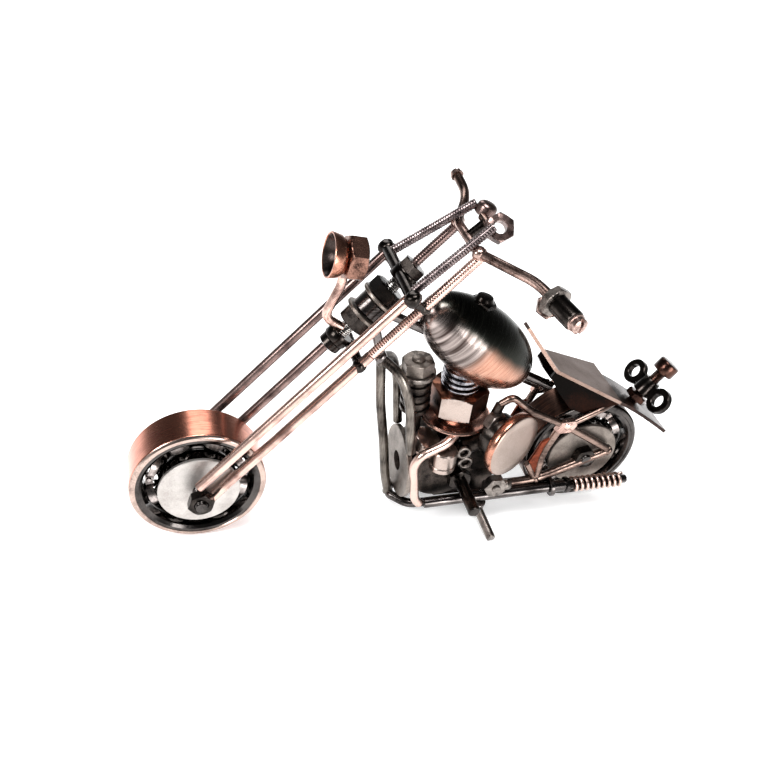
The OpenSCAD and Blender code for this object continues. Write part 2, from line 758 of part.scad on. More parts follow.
module side_stand() {
    color(steel) difference() {
        union() {
            rod(stand_pivot, stand_foot, stand_r);
            stand_axis() translate([0, 0, -stand_r]) cylinder(r = 1.9, h = 2 * stand_r);
        }
        stand_axis() translate([0, 0, -5]) cylinder(r = stand_pin_r + run_gap, h = 10);
        translate([stand_foot[0] - 10, -40, -5]) cube([20, 60, 5]);
    }
}

// ---- wheels in place ----

module wheel_axle(x, half) {
    color(steel) on_axle(x) {
        translate([0, 0, -half]) cylinder(r = axle_r, h = 2 * half);
        translate([0, 0, half - eps]) cylinder(r = axle_r * 1.5, h = 1.3);
    }
}

module axle_nuts(x, inside) {
    color(gunmetal) on_axle(x)
        for (s = [-1, 1])
            translate([0, 0, s > 0 ? inside : -inside - nut_s_h]) hex_nut(nut_s_af, nut_s_h, axle_r + thin_gap);
}

front_nut_in = fork_rear_half_w + wire_r + 0.1;
rear_nut_in = side_y + washer_t + thin_gap;

module front_axle() { wheel_axle(0, front_nut_in + nut_s_h + 0.8); }
module rear_axle() { wheel_axle(rear_x, rear_nut_in + nut_s_h + 0.5); }
module front_axle_nuts() { axle_nuts(0, front_nut_in); }
module rear_axle_nuts() { axle_nuts(rear_x, rear_nut_in); }
module front_washers() { color(steel) on_axle(0) side_washers(); }
module rear_washers() { color(steel) on_axle(rear_x) side_washers(); }
module front_inner_ring() { color(steel) on_axle(0) inner_ring(); }
module rear_inner_ring() { color(steel) on_axle(rear_x) inner_ring(); }
module front_outer_ring() { color(copper) on_axle(0) outer_ring(); }
module rear_outer_ring() { color(bronze) on_axle(rear_x) outer_ring(); }
module front_balls() { color("silver") on_axle(0) balls(); }
module rear_balls() { color("silver") on_axle(rear_x) balls(); }
module front_cage() { color(gunmetal) on_axle(0) cage(); }
module rear_cage() { color(gunmetal) on_axle(rear_x) cage(); }

// ---- fork and steering ----

module fork_wires() {
    front_low_q = 3; // the front wires stop short of the axle, and the rear ones run past it
    rear_low_q = -3;
    color(copper) steering() mirrored_y() {
        rod([front_wire_p, -fork_half_w, front_low_q], [front_wire_p, -fork_half_w, bridge_q + 1], wire_r);
        rod([rear_wire_p, -fork_rear_half_w, rear_low_q], [rear_wire_p, -fork_rear_half_w, bar_q + 0.6], wire_r);
    }
}

module fork_bridge() {
    low_q = stem_low_q - 1.2;
    color(gunmetal) steering() {
        difference() {
            union() {
                rod([front_wire_p, -fork_half_w - 1.6, bridge_q], [front_wire_p, fork_half_w + 1.6, bridge_q], wire_r * 1.15);
                rod([rear_wire_p, -fork_rear_half_w, low_q], [rear_wire_p, fork_rear_half_w, low_q], wire_r);
                translate([0, 0, stem_low_q - 2.4]) cylinder(r = 3, h = 2.4);
                rod([0, 0, low_q], [rear_wire_p, 0, low_q], wire_r);
                translate([0, 0, bridge_q - 1.4]) cylinder(r = 3, h = 2.8);
            }
            translate([0, 0, stem_low_q - 10]) cylinder(r = stem_r + thin_gap, h = 40);
        }
        mirrored_y() {
            rod([front_wire_p, -fork_half_w, bridge_q - 1], [rear_wire_p, -fork_rear_half_w, bridge_q - 1], wire_r * 0.9);
            translate([front_wire_p, -fork_half_w - 1.2, bridge_q]) sphere(r = 2);
        }
    }
}

module stem_screw() {
    color(steel) steering() {
        translate([0, 0, stem_low_q - 4]) cylinder(r = stem_r, h = bridge_q + 7.4 - stem_low_q);
        translate([0, 0, stem_low_q - 4.6]) cylinder(r = 2.7, h = 2.2);
        translate([0, 0, bridge_q + 1.4]) hex_nut(nut_s_af, nut_s_h, 0);
    }
}

module stem_nuts() {
    low = neck_q - neck_len / 2 - part_gap;
    high = neck_q + neck_len / 2 + part_gap;
    bore = stem_r + thin_gap;
    color(steel) steering() {
        translate([0, 0, low - 0.8]) washer(4.5, bore, 0.8);
        translate([0, 0, high]) washer(4.5, bore, 0.8);
    }
    color(gunmetal) steering() {
        translate([0, 0, low - 0.8 - nut_m_h - thin_gap]) hex_nut(nut_m_af, nut_m_h, bore);
        translate([0, 0, high + 0.8 + thin_gap]) rotate([0, 0, 30]) hex_nut(nut_m_af, nut_m_h, bore);
    }
}

riser_base = [front_wire_p, fork_half_w - 0.9, bridge_q];
riser_top = [gauge_p - 2.2, gauge_y + 1.4, gauge_q - 0.4];

module threaded_risers() {
    color(steel) steering() mirrored_y() rod(riser_base, riser_top, 1.1);
}

// The near arm carries the grip, the far one is bent up and ends bare
module handlebar() {
    color(bronze) steering() wire([
        grip_in + 0.6 * grip_dir, arm_elbow + [0.1, 0.1, 0.1],
        [bar_p, -fork_rear_half_w + 0.4, bar_q],
        [bar_p, fork_rear_half_w - 0.4, bar_q],
        [bar_p + 0.6, 11.6, bar_q + 3.7], [bar_p + 1.1, 16.2, bar_q + 5.2], far_tip
    ], bar_wire_d / 2);
}

module grip_nuts() {
    middle = grip_in + [1.1, 0.4, -1.7];
    color(copper) steering() along(middle, middle + [-0.6, -0.75, 0.27])
        translate([0, 0, -0.9]) hex_nut(nut_s_af - 0.9, 1.8, 1.1);
}

module grips() {
    color(gunmetal) steering() along(grip_in, grip_in + grip_dir) {
        hex_nut(nut_s_af + 0.5, 1.8, 0);
        cylinder(r = grip_r, h = grip_len - grip_screw_h);
    }
}

// A slotted screw closes the grip, and a smaller one ends the bare arm
module grip_screws() {
    color(copper) steering() {
        along(grip_in + (grip_len - grip_screw_h) * grip_dir, grip_in + grip_len * grip_dir)
            slotted_end(grip_screw_r, grip_screw_h, 0.6);
        along(far_tip, far_tip + far_tip_dir) slotted_end(far_end_r, far_end_h, 0.5);
    }
}

module slotted_end(r, h, slot) {
    difference() {
        union() {
            cylinder(r = r + 0.2, h = 0.5);
            cylinder(r = r, h = h);
        }
        translate([-3, -slot / 2, h - 0.8]) cube([6, slot, 2]);
    }
}

module gauges() {
    color(gunmetal) steering() {
        near = [gauge_p, -gauge_y, gauge_q];
        along(near, near + [-0.5, -0.7, 0.4]) translate([0, 0, -nut_s_h / 2]) hex_nut(nut_s_af + 0.3, nut_s_h, 1.4);
        translate([gauge_p, gauge_y, gauge_q]) rotate([0, -lean + 20, 0]) translate([0, 0, -1.2]) {
            cylinder(r = 2.3, h = 2);
            translate([0, 0, 2 - eps]) cylinder(r1 = 2.3, r2 = 1.2, h = 1.1);
        }
        rod([bar_p, 0, bar_q], [gauge_p - 0.6, 0, gauge_q - 1.4], 1);
        rod([gauge_p - 0.6, -gauge_y + 2.2, gauge_q - 1.4], [gauge_p - 0.6, gauge_y - 1.8, gauge_q - 1.4], 1);
    }
}

// ---- headlamp ----

// +Z of this frame points forward, out of the lamp
module lamp_axis() {
    steering() translate([lamp_p, 0, lamp_q]) rotate([0, -90 - lean + lamp_up, 0]) children();
}

module lamp_bracket() {
    color(copper) steering()
        wire([
            [-1, 0, stem_low_q + 0.9], [-6.2, 0, stem_low_q + 0.3], [lamp_p + 4.4, 0, lamp_q - 5],
            [lamp_p + 2.2, 0, lamp_q - 2.4]
        ], 1.1);
}

module headlamp_cup() {
    wall = 0.8;
    color(copper) lamp_axis() rotate_extrude($fn = 64)
        polygon([
            [0, 0], [lamp_r - 1.6, 0], [lamp_r - 0.4, 1.4], [lamp_r, lamp_len], [lamp_r - wall, lamp_len],
            [lamp_r - 1.2, 1.9], [lamp_r - 2.2, 1], [0, 1]
        ]);
}

module headlamp_nut() {
    color(gunmetal) lamp_axis() translate([0, 0, -lamp_nut_h]) hex_nut(2 * lamp_r - 1, lamp_nut_h, 0);
}

module headlamp_lens() {
    color(steel) lamp_axis() translate([0, 0, 1]) {
        cylinder(r1 = 2.2, r2 = 1.5, h = 1.1);
    }
}

place() backbone();
place() down_tubes();
place() bottom_rails();
place() rear_arms();
place() upper_stays();
place() stay_plates();
place() fender_stays();
place() fuel_tank();
place() tank_cap();
place() seat();
place() rear_fender();
place() tail_screw();
place() wing_nut();
place() crankcase();
place() front_plate_washer();
place() front_cylinder();
place() front_cylinder_nut();
place() rear_cylinder_nut();
place() rear_cylinder_rings();
place() dished_washer();
place() side_cover();
place() cover_block();
place() header_pipe();
place() exhaust_pipe();
place() exhaust_stub();
place() exhaust_coil();
place() foot_pegs();
place() pedal_nut();
place() drive_link();
place() stand_lug();
place() side_stand();
place() rear_axle();
place() rear_axle_nuts();
place() rear_washers();
place() rear_inner_ring();
place() rear_outer_ring();
place() rear_balls();
place() rear_cage();
place() fork_wires();
place() fork_bridge();
place() stem_screw();
place() stem_nuts();
place() threaded_risers();
place() handlebar();
place() grip_nuts();
place() grips();
place() grip_screws();
place() gauges();
place() lamp_bracket();
place() headlamp_cup();
place() headlamp_nut();
place() headlamp_lens();
place() front_axle();
place() front_axle_nuts();
place() front_washers();
place() front_inner_ring();
place() front_outer_ring();
place() front_balls();
place() front_cage();
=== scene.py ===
import bmesh
import bpy
import numpy as np
from mathutils import Matrix, Vector


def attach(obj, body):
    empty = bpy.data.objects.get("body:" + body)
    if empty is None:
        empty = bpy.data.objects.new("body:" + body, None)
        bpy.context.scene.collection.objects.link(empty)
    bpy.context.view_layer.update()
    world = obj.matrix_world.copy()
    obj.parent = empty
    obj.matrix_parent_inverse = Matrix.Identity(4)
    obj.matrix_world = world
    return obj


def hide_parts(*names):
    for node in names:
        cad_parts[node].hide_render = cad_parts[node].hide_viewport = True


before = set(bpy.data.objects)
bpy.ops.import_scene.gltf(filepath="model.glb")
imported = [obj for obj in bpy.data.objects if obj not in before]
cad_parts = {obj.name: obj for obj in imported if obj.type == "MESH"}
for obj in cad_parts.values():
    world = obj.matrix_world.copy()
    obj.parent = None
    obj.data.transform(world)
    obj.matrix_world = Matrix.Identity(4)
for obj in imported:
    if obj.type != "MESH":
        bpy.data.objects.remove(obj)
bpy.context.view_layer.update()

# Wheels: real ball bearings with a plain washer on each side, clamped by a screw and two nuts.
# The front ring is copper plated on its tread, its chamfers pale as a painted highlight; the rear one is drawn
# darker as painted shade.  The races, balls and washers are bare steel.  The two outer rings turn, and the
# balls roll round at their own slower pace.


def bike(points):
    """Millimetres from the ground under the front axle, turned to metres from the middle of the model."""
    return (np.asarray(points, float) - [54.112, -6.4788, 0]) / 1000


def linear(hexcode):
    """An sRGB hex colour as linear RGBA: ((c + 0.055) / 1.055) ^ 2.4, or c / 12.92 near black."""
    c = np.array([int(hexcode[i:i + 2], 16) for i in (1, 3, 5)]) / 255
    c = np.where(c > 0.04045, ((c + 0.055) / 1.055) ** 2.4, c / 12.92)
    return (*c, 1.0)


def add(tree, kind, settings=None, links=None):
    """Adds one shader node with its settings, and links given inputs from (node, output) pairs."""
    node = tree.nodes.new(kind)
    for key, value in (settings or {}).items():
        if isinstance(key, int) or key in node.inputs:
            node.inputs[key].default_value = value
        else:
            setattr(node, key, value)
    for key, (source, output) in (links or {}).items():
        tree.links.new(source.outputs[output], node.inputs[key])
    return node


def cleared(holder):
    """The node tree of a material or a world, switched on and emptied."""
    holder.use_nodes = True
    holder.node_tree.nodes.clear()
    return holder.node_tree


def metal(name, light, dark, rough, patch=3.0, grain=0.25, streak=(1, 1, 1), turn=(0, 0, 0), cover=0.5,
          bump=0.02, spread=0.12):
    """A plated or bare metal in two tones.

    Patches of `patch` mm mix the light and the dark tone about the share `cover`; a finer grain of `grain` mm,
    drawn out by `streak` along the turned axes as brushing or wire drawing does, mixes them again, roughens
    the surface by up to `spread` and lifts it by `bump` mm.  Real polishing lines are finer than 0.1 mm; the
    grain is drawn coarser so that it shows.
    """
    mat = bpy.data.materials.new(name)
    tree = cleared(mat)
    where = add(tree, "ShaderNodeTexCoord")
    drawn = add(tree, "ShaderNodeMapping", {"Rotation": turn}, {"Vector": (where, "Object")})
    long = add(tree, "ShaderNodeMapping", {"Scale": streak}, {"Vector": (drawn, "Vector")})
    cloud = add(tree, "ShaderNodeTexNoise", {"Scale": 1000 / patch, "Detail": 3.0, "Roughness": 0.55},
                {"Vector": (drawn, "Vector")})
    fine = add(tree, "ShaderNodeTexNoise", {"Scale": 1000 / grain, "Detail": 2.0, "Roughness": 0.6},
               {"Vector": (long, "Vector")})
    both = add(tree, "ShaderNodeMix", {"data_type": "FLOAT", "Factor": 0.35},
               {2: (cloud, "Fac"), 3: (fine, "Fac")})
    ramp = add(tree, "ShaderNodeValToRGB", links={"Fac": (both, 0)})
    ramp.color_ramp.elements[0].position = cover - 0.14
    ramp.color_ramp.elements[0].color = linear(dark)
    ramp.color_ramp.elements[1].position = cover + 0.1
    ramp.color_ramp.elements[1].color = linear(light)
    dull = add(tree, "ShaderNodeMapRange", {"From Min": 0.3, "From Max": 0.7, "To Min": rough + spread / 2,
                                            "To Max": rough - spread / 2}, {"Value": (both, 0)})
    lift = add(tree, "ShaderNodeBump", {"Strength": 0.6, "Distance": bump / 1000}, {"Height": (fine, "Fac")})
    skin = add(tree, "ShaderNodeBsdfPrincipled", {"Metallic": 1.0},
               {"Base Color": (ramp, "Color"), "Roughness": (dull, "Result"), "Normal": (lift, "Normal")})
    add(tree, "ShaderNodeOutputMaterial", links={"Surface": (skin, "BSDF")})
    return mat


def unit(way):
    """The same direction with length one."""
    return np.asarray(way, float) / np.linalg.norm(way)


def axes_round(base, toward):
    """The way from base to toward as a unit vector, and a unit vector square to it."""
    way = unit(toward - base)
    return way, unit(np.cross([0.0, 1.0, 0.0] if abs(way[1]) < 0.9 else [1.0, 0.0, 0.0], way))


def turned(profile, base, toward, seg=48, ring=False):
    """Surface of revolution: each (radius, height) pair is carried round the line from base through toward."""
    base, toward = np.asarray(base, float), np.asarray(toward, float)
    way, side = axes_round(base, toward)
    angle = np.linspace(0, 2 * np.pi, seg, endpoint=False)[:, None]
    circle = np.cos(angle) * side + np.sin(angle) * np.cross(way, side)
    radius, height = np.asarray(profile, float).T
    if not ring:
        radius = np.concatenate([[0], radius, [0]])
        height = np.concatenate([height[:1], height, height[-1:]])
    return base + radius[:, None, None] * circle + height[:, None, None] * way, ring


def open_turned(profile, base, toward, seg):
    """The same surface without its two closing ends, for a face that goes on in another finish."""
    return turned(profile, base, toward, seg)[0][1:-1], False


def piece(name, body, nodes, slot, *dressed):
    """Makes one piece from (material, shell, shell, ...) groups and puts it in place of the CAD nodes.

    A shell is (points, ring): rows of points that close round, joined row to row by four-sided faces, and the
    last row to the first where ring is true.
    """
    points, faces, kinds, start = [], [], [], 0
    for kind, group in enumerate(dressed):
        for grid, ring in group[1:]:
            rows, cols = grid.shape[:2]
            row = np.arange(rows if ring else rows - 1)[:, None]
            col = np.arange(cols)[None, :]
            here, below, over = row * cols, (row + 1) % rows * cols, (col + 1) % cols
            quad = np.stack(np.broadcast_arrays(here + col, here + over, below + over, below + col), -1)
            points.append(bike(grid.reshape(-1, 3)))
            faces.append(start + quad.reshape(-1, 4))
            kinds.append(np.full(quad.size // 4, kind))
            start += rows * cols
    mesh = bpy.data.meshes.new(name)
    mesh.from_pydata(np.concatenate(points).tolist(), [], np.concatenate(faces).tolist())
    mesh.polygons.foreach_set("material_index", np.concatenate(kinds).astype("i"))
    for group in dressed:
        mesh.materials.append(group[0])
    bm = bmesh.new()
    bm.from_mesh(mesh)
    bmesh.ops.remove_doubles(bm, verts=bm.verts, dist=1e-6)
    bmesh.ops.recalc_face_normals(bm, faces=bm.faces)
    bm.to_mesh(mesh)
    bm.free()
    mesh.polygons.foreach_set("use_smooth", np.ones(len(mesh.polygons), dtype=bool))
    mesh.set_sharp_from_angle(angle=0.6)
    made = bpy.data.objects.new(name, mesh)
    bpy.context.scene.collection.objects.link(made)
    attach(made, body)
    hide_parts(*nodes)
    return made


def hexagon(across, height, bore, base, toward, corner=(1, 0, 0)):
    """A hexagon nut: radius = flat / cos(angle from the middle of a face), cut back by a 30 degree cone at
    both ends, with a bore when it has one; a corner points along `corner`."""
    base, toward = np.asarray(base, float), np.asarray(toward, float)
    way = unit(toward - base)
    side = unit(np.asarray(corner, float) - np.dot(corner, way) * way)
    angle = np.linspace(0, 2 * np.pi, 72, endpoint=False)
    flat = across / 2
    edge = flat / np.cos(np.mod(angle, np.pi / 3) - np.pi / 6)
    cut = (flat / np.cos(np.pi / 6) - flat) * 0.6
    rise = np.array([0, cut * 0.33, cut * 0.66, cut])
    level = np.concatenate([rise, height - rise[::-1]])
    cone = flat + np.minimum(level, height - level) / 0.6
    radius = np.minimum(edge[None, :], cone[:, None])
    inner = np.full((1, 72), bore)
    if bore:
        lead = 0.18
        level = np.concatenate([[lead, 0], level, [height, height - lead]])
        radius = np.concatenate([inner, inner + lead, radius, inner + lead, inner])
    else:
        level = np.concatenate([[0], level, [height]])
        radius = np.concatenate([inner, radius, inner])
    circle = np.cos(angle)[:, None] * side + np.sin(angle)[:, None] * np.cross(way, side)
    return base + radius[:, :, None] * circle + level[:, None, None] * way, bool(bore)


def threaded(base, toward, radius, pitch, depth, seg=20):
    """A screw thread: radius - depth * (1 - triangle wave of (height / pitch - angle / full turn))."""
    base, toward = np.asarray(base, float), np.asarray(toward, float)
    length = np.linalg.norm(toward - base)
    level = np.linspace(0, length, int(length / pitch * 6) + 1)
    share = np.linspace(0, 1, seg, endpoint=False)
    wave = np.abs(2 * np.mod(level[:, None] / pitch - share[None, :], 1) - 1)
    ends = np.minimum(np.minimum(level, length - level) / pitch, 1)[:, None]
    crest = radius - depth * (1 - wave * ends)
    way, side = axes_round(base, toward)
    angle = 2 * np.pi * share[:, None]
    circle = np.cos(angle) * side + np.sin(angle) * np.cross(way, side)
    grid = base + crest[:, :, None] * circle + level[:, None, None] * way
    tip = np.repeat(base[None, None], seg, 1)
    return np.concatenate([tip, grid, tip + length * way]), False


# Copper plate brushed round the tread: fine lines run round the wheel over darker clouds.  They are drawn
# 0.3 mm apart, coarser than real brushing, so that the eye still finds them at arm's length.
tread_copper = metal("copper_plate_brushed_round_the_wheel", "#b87a66", "#6a2f22", 0.25, patch=9, grain=0.3,
                     streak=(0.04, 1, 0.04), cover=0.44, bump=0.012)
# The same plate drawn dark as painted shade, as on the rear wheel.
rear_tread_painted_shade = metal("dark_copper_plate_on_the_rear_wheel", "#76584c", "#201714", 0.3, patch=7, grain=0.3,
                   streak=(0.04, 1, 0.04), bump=0.012)
# Hardened bearing steel, ground: from close by it is nearly a mirror with a dark sheen.
race_steel = metal("ground_bearing_steel", "#4d4947", "#1b1918", 0.14, patch=5, grain=0.3, cover=0.45,
                   bump=0.003)
# The front ring's chamfers and rims, drawn pale as a painted highlight.
pale_edge_painted_highlight = metal("ring_edge_painted_highlight", "#b8a399", "#6f5f58", 0.24, patch=5, grain=0.3, cover=0.45, bump=0.003)
# Oiled grey steel of the pressed ball cage.
cage_steel = metal("oiled_pressed_steel", "#b0a6a2", "#5c5653", 0.3, patch=2, grain=0.3, bump=0.01)
# Polished balls.
ball_steel = metal("polished_ball_steel", "#e8e6e4", "#b9b6b4", 0.1, patch=2, grain=0.4, bump=0.0, spread=0.04)
# Zinc-grey washer steel tumbled dull, with a fine even grain.
washer_steel = metal("tumbled_washer_steel", "#bab5b1", "#a09a96", 0.46, patch=4, grain=0.35, bump=0.03)
# The same washers in a darker grey-brown, on the engine, the stem and the rear wheel; on the rear wheel the
# darker tone is painted shade.
grey_brown_washer_and_shade = metal("grey_brown_washer_steel", "#857c75", "#5f5751", 0.42, patch=4, grain=0.35, bump=0.03)
# Black nickel plate on nuts and screws: a dark mirror with a faint brown cast.
black_nickel = metal("black_nickel_plate", "#3a3532", "#100e0d", 0.22, patch=2.5, grain=0.3, bump=0.008)

# millimetres: axle height, wheelbase, then the balls, their strips, circle and groove, and the axle nut
axle_z = 16.0
rear_x = 99.5
ball_r = 2.8
strip_r = 2.95
ball_circle = 11.2
groove_r = 2.85
nut_h = 2.4
arc = np.linspace(-1, 1, 13) * np.arcsin(2.124 / groove_r)
groove_out = np.stack([ball_circle + groove_r * np.cos(arc), groove_r * np.sin(arc)], 1)
groove_in = np.stack([ball_circle - groove_r * np.cos(arc), groove_r * np.sin(arc)], 1)


def on_ball_circle(middle, angles):
    """Points of a wheel's ball circle round its middle, one for each angle."""
    return [middle + [ball_circle * np.cos(a), 0, -ball_circle * np.sin(a)] for a in angles]


# The rear wheel takes darker copies of the tread, edge and washer finishes: painted shade.
for end, x, carrier, slot, tread, edge_finish, washer_finish, nut_in, overhang in (
        ("front", 0.0, "steering", "copper_plate", tread_copper, pale_edge_painted_highlight, washer_steel, 8.85, 0.8),
        ("rear", rear_x, "frame", "dark_copper", rear_tread_painted_shade, race_steel, grey_brown_washer_and_shade, 6.24, 0.5)):
    hub, left = np.array([x, 0, axle_z]), np.array([x, 1.0, axle_z])
    # outer ring: the tread, its chamfers and rims, and the faces with the ball race
    rim = [(15.9, -4.67), (16, -4.5), (16, -4.35), (16, 4.35), (16, 4.5), (15.9, 4.67)]
    edge = np.array([[15.9, 4.67], [15.4, 5.17], [15.25, 5.2], [14.6, 5.2], [14.5, 5.05]])
    face = np.concatenate([[[14.5, 5.05], [13.8, 5.05], [13.1, 4.5], [13.1, 2.13]], groove_out[::-1],
                           [[13.1, -2.13], [13.1, -4.5], [13.8, -5.05], [14.5, -5.05]]])
    edges = [open_turned(line, hub, left, 144) for line in (edge, edge[::-1] * [1, -1])]
    piece(end + "_wheel_ring", end + "_wheel", [end + "_outer_ring"], slot,
          (tread, open_turned(rim, hub, left, 144)), (edge_finish, *edges),
          (race_steel, open_turned(face, hub, left, 144)))
    # inner ring, clamped between the washers
    inner = np.concatenate([[[6, -5.05], [6.15, -5.2], [8.75, -5.2], [8.9, -5.05], [8.9, -1.7]], groove_in,
                            [[8.9, 1.7], [8.9, 5.05], [8.75, 5.2], [6.15, 5.2], [6, 5.05]]])
    piece(end + "_inner_race", carrier, [end + "_inner_ring"], "bare_steel",
          (race_steel, turned(inner, hub, left, 96, True)))
    # eight balls in a cage of two pressed strips, riveted between the balls
    seats_at = (np.arange(8) + 0.5) * np.pi / 4
    lat = np.linspace(-np.pi / 2, np.pi / 2, 17)[1:-1]
    ball = np.stack([ball_r * np.cos(lat), ball_r * np.sin(lat)], 1)
    balls = []
    for seat in on_ball_circle(hub, seats_at):
        grid, ring = turned(ball, seat, seat + [0, 1, 0], 24)
        grid[0], grid[-1] = seat - [0, ball_r, 0], seat + [0, ball_r, 0]
        balls.append((grid, ring))
    piece(end + "_ball_row", end + "_ball_set", [end + "_balls"], "ball_steel", (ball_steel, *balls))
    angle = np.linspace(0, 2 * np.pi, 288, endpoint=False)
    off = ball_circle * (np.mod(angle, np.pi / 4) - np.pi / 8)
    swell = np.sqrt(np.maximum(strip_r ** 2 - off ** 2, 0.25 ** 2))
    strips = []
    for side in (-1, 1):
        rows = [np.stack([hub[0] + r * np.cos(angle), side * (swell + up), hub[2] - r * np.sin(angle)], 1)
                for r, up in ((10.35, 0), (12.05, 0), (12.05, 0.35), (10.35, 0.35))]
        strips.append((np.stack(rows), True))
    rivets = [turned([(0.5, -1.1), (0.62, -0.8), (0.62, 0.8), (0.5, 1.1)], at, at + [0, 1, 0], 12)
              for at in on_ball_circle(hub, seats_at + np.pi / 8)]
    piece(end + "_ball_cage", end + "_ball_set", [end + "_cage"], "black_nickel",
          (cage_steel, *strips, *rivets))
    # a washer each side, the spacer between them, the screw and its nuts
    disc = [(1.52, 0.12), (1.64, 0), (9.42, 0), (9.6, 0.18), (9.6, 0.82), (9.42, 1), (1.64, 1), (1.52, 0.88)]
    washers = [turned(disc, [x, y, axle_z], [x, y + 1, axle_z], 96, True) for y in (-6.22, 5.22)]
    spacer = turned([(1.52, -5.2), (5.98, -5.2), (5.98, 5.2), (1.52, 5.2)], hub, left, 48, True)
    piece(end + "_side_washers", carrier, [end + "_washers"], "bare_steel", (washer_finish, *washers, spacer))
    half = nut_in + nut_h + overhang
    screw = threaded([x, -half, axle_z], [x, half - 0.4, axle_z], 1.5, 0.5, 0.16)
    head = turned([(1.5, -0.5), (2.15, 0), (2.25, 0.25), (2.1, 0.9), (1.5, 1.25), (0.8, 1.3)],
                  [x, half, axle_z], [x, half + 1, axle_z], 32)
    piece(end + "_axle_screw", carrier, [end + "_axle"], "bare_steel", (race_steel, screw, head))
    nuts = [hexagon(5.5, nut_h, 1.52, [x, y, axle_z], [x, y + 1, axle_z], (1, 0, 0.25))
            for y in (nut_in, -nut_in - nut_h)]
    piece(end + "_axle_nut_pair", carrier, [end + "_axle_nuts"], "black_nickel", (black_nickel, *nuts))

# Fork: four drawn wires run side by side from the axle, the front pair to the bridge and the rear pair on up
# to the handlebar.  They are copper plated steel wire, streaked bright copper over brown, with a light rib
# rolled into the upper half of the rear pair; the wires on the far side are drawn in a darker copy as painted
# shade.

# the fork leans back by the rake, and the axle lies a little behind the line of the stem
rake = np.radians(42)
axle_p = 1.85


def steer(points):
    """Fork places (p across, y sideways, q up the fork) as bike millimetres.

    x = (p - axle_p) cos(rake) + q sin(rake), z = axle height - (p - axle_p) sin(rake) + q cos(rake).
    """
    p, y, q = np.moveaxis(np.asarray(points, float), -1, 0)
    x = (p - axle_p) * np.cos(rake) + q * np.sin(rake)
    return np.stack([x, y, axle_z - (p - axle_p) * np.sin(rake) + q * np.cos(rake)], -1)


def both_sides(shells):
    """Each shell and its mirror image in the bike's middle plane."""
    return [one for shell in shells for one in (shell, (shell[0] * [1, -1, 1], shell[1]))]


def bent(corners, bend):
    """A path that rounds each corner: a quadratic curve leaves the corner's two sides at `bend` mm from it."""
    corners = np.asarray(corners, float)
    share = np.linspace(0, 1, 9)[:, None]
    parts = [corners[:1]]
    for before, corner, after in zip(corners, corners[1:], corners[2:]):
        back, on = np.linalg.norm(before - corner), np.linalg.norm(after - corner)
        reach = min(bend, 0.45 * back, 0.45 * on)
        first = corner + (before - corner) / back * reach
        last = corner + (after - corner) / on * reach
        parts.append((1 - share) ** 2 * first + 2 * share * (1 - share) * corner + share ** 2 * last)
    return np.concatenate(parts + [corners[-1:]])


def wire(path, radius, seg=20):
    """A round wire along a path: circles of the given radius set square to it, with slightly rounded ends."""
    path = np.asarray(path, float)
    radius = np.broadcast_to(radius, len(path)).astype(float)
    ahead = np.gradient(path, axis=0)
    ahead /= np.linalg.norm(ahead, axis=1)[:, None]
    least = np.eye(3)[np.argmin(np.abs(ahead).max(0))]
    side = np.cross(least, ahead)
    side /= np.linalg.norm(side, axis=1)[:, None]
    other = np.cross(ahead, side)
    angle = np.linspace(0, 2 * np.pi, seg, endpoint=False)[:, None]
    circle = np.cos(angle) * side[:, None] + np.sin(angle) * other[:, None]
    grid = path[:, None] + radius[:, None, None] * circle
    first, last = path[:1, None], path[-1:, None]
    lip = 0.12 * radius[0]
    rows = [np.repeat(first, seg, 1), first + (grid[:1] - first) * 0.86, grid[:1] + lip * ahead[0], grid[1:-1],
            grid[-1:] - lip * ahead[-1], last + (grid[-1:] - last) * 0.86, np.repeat(last, seg, 1)]
    return np.concatenate(rows), False


def bead(at, size, seed=0.0):
    """A lump of braze: a ball whose radius swells by sines of both angles, like metal that froze as it ran."""
    lat = np.linspace(0, np.pi, 13)[:, None]
    lon = np.linspace(0, 2 * np.pi, 22, endpoint=False)[None, :]
    swell = (1 + 0.1 * np.sin(3 * lon + seed) * np.sin(2 * lat)
             + 0.08 * np.cos(2 * lon - 2 * seed) * np.sin(lat))
    shape = np.stack([np.sin(lat) * np.cos(lon), np.sin(lat) * np.sin(lon), np.cos(lat) + 0 * lon], -1)
    grid = np.asarray(at, float) + (size * swell)[..., None] * shape
    grid[0], grid[-1] = grid[0].mean(0), grid[-1].mean(0)
    return grid, False


def leaned(shell):
    """A shell given in fork places, carried to bike millimetres."""
    return steer(shell[0]), shell[1]


# Copper plate over drawn wire: streaks run along the fork, bright copper over brown.  They are drawn 0.22 mm
# apart, a little coarser than the die leaves them.
wire_copper = metal("copper_plated_drawn_wire", "#d3b2a6", "#543730", 0.26, patch=6, grain=0.22,
                    streak=(1, 1, 0.03), turn=(0, -rake, 0), cover=0.42, bump=0.01)
# The same wire in a darker copy: painted shade on the far fork wires, dark copper plate on the gauge nuts.
dark_wire_copper_and_shade = metal("dark_copper_plated_wire", "#87726d", "#2a201f", 0.28, patch=5, grain=0.22,
                  streak=(1, 1, 0.03), turn=(0, -rake, 0), cover=0.46, bump=0.01)

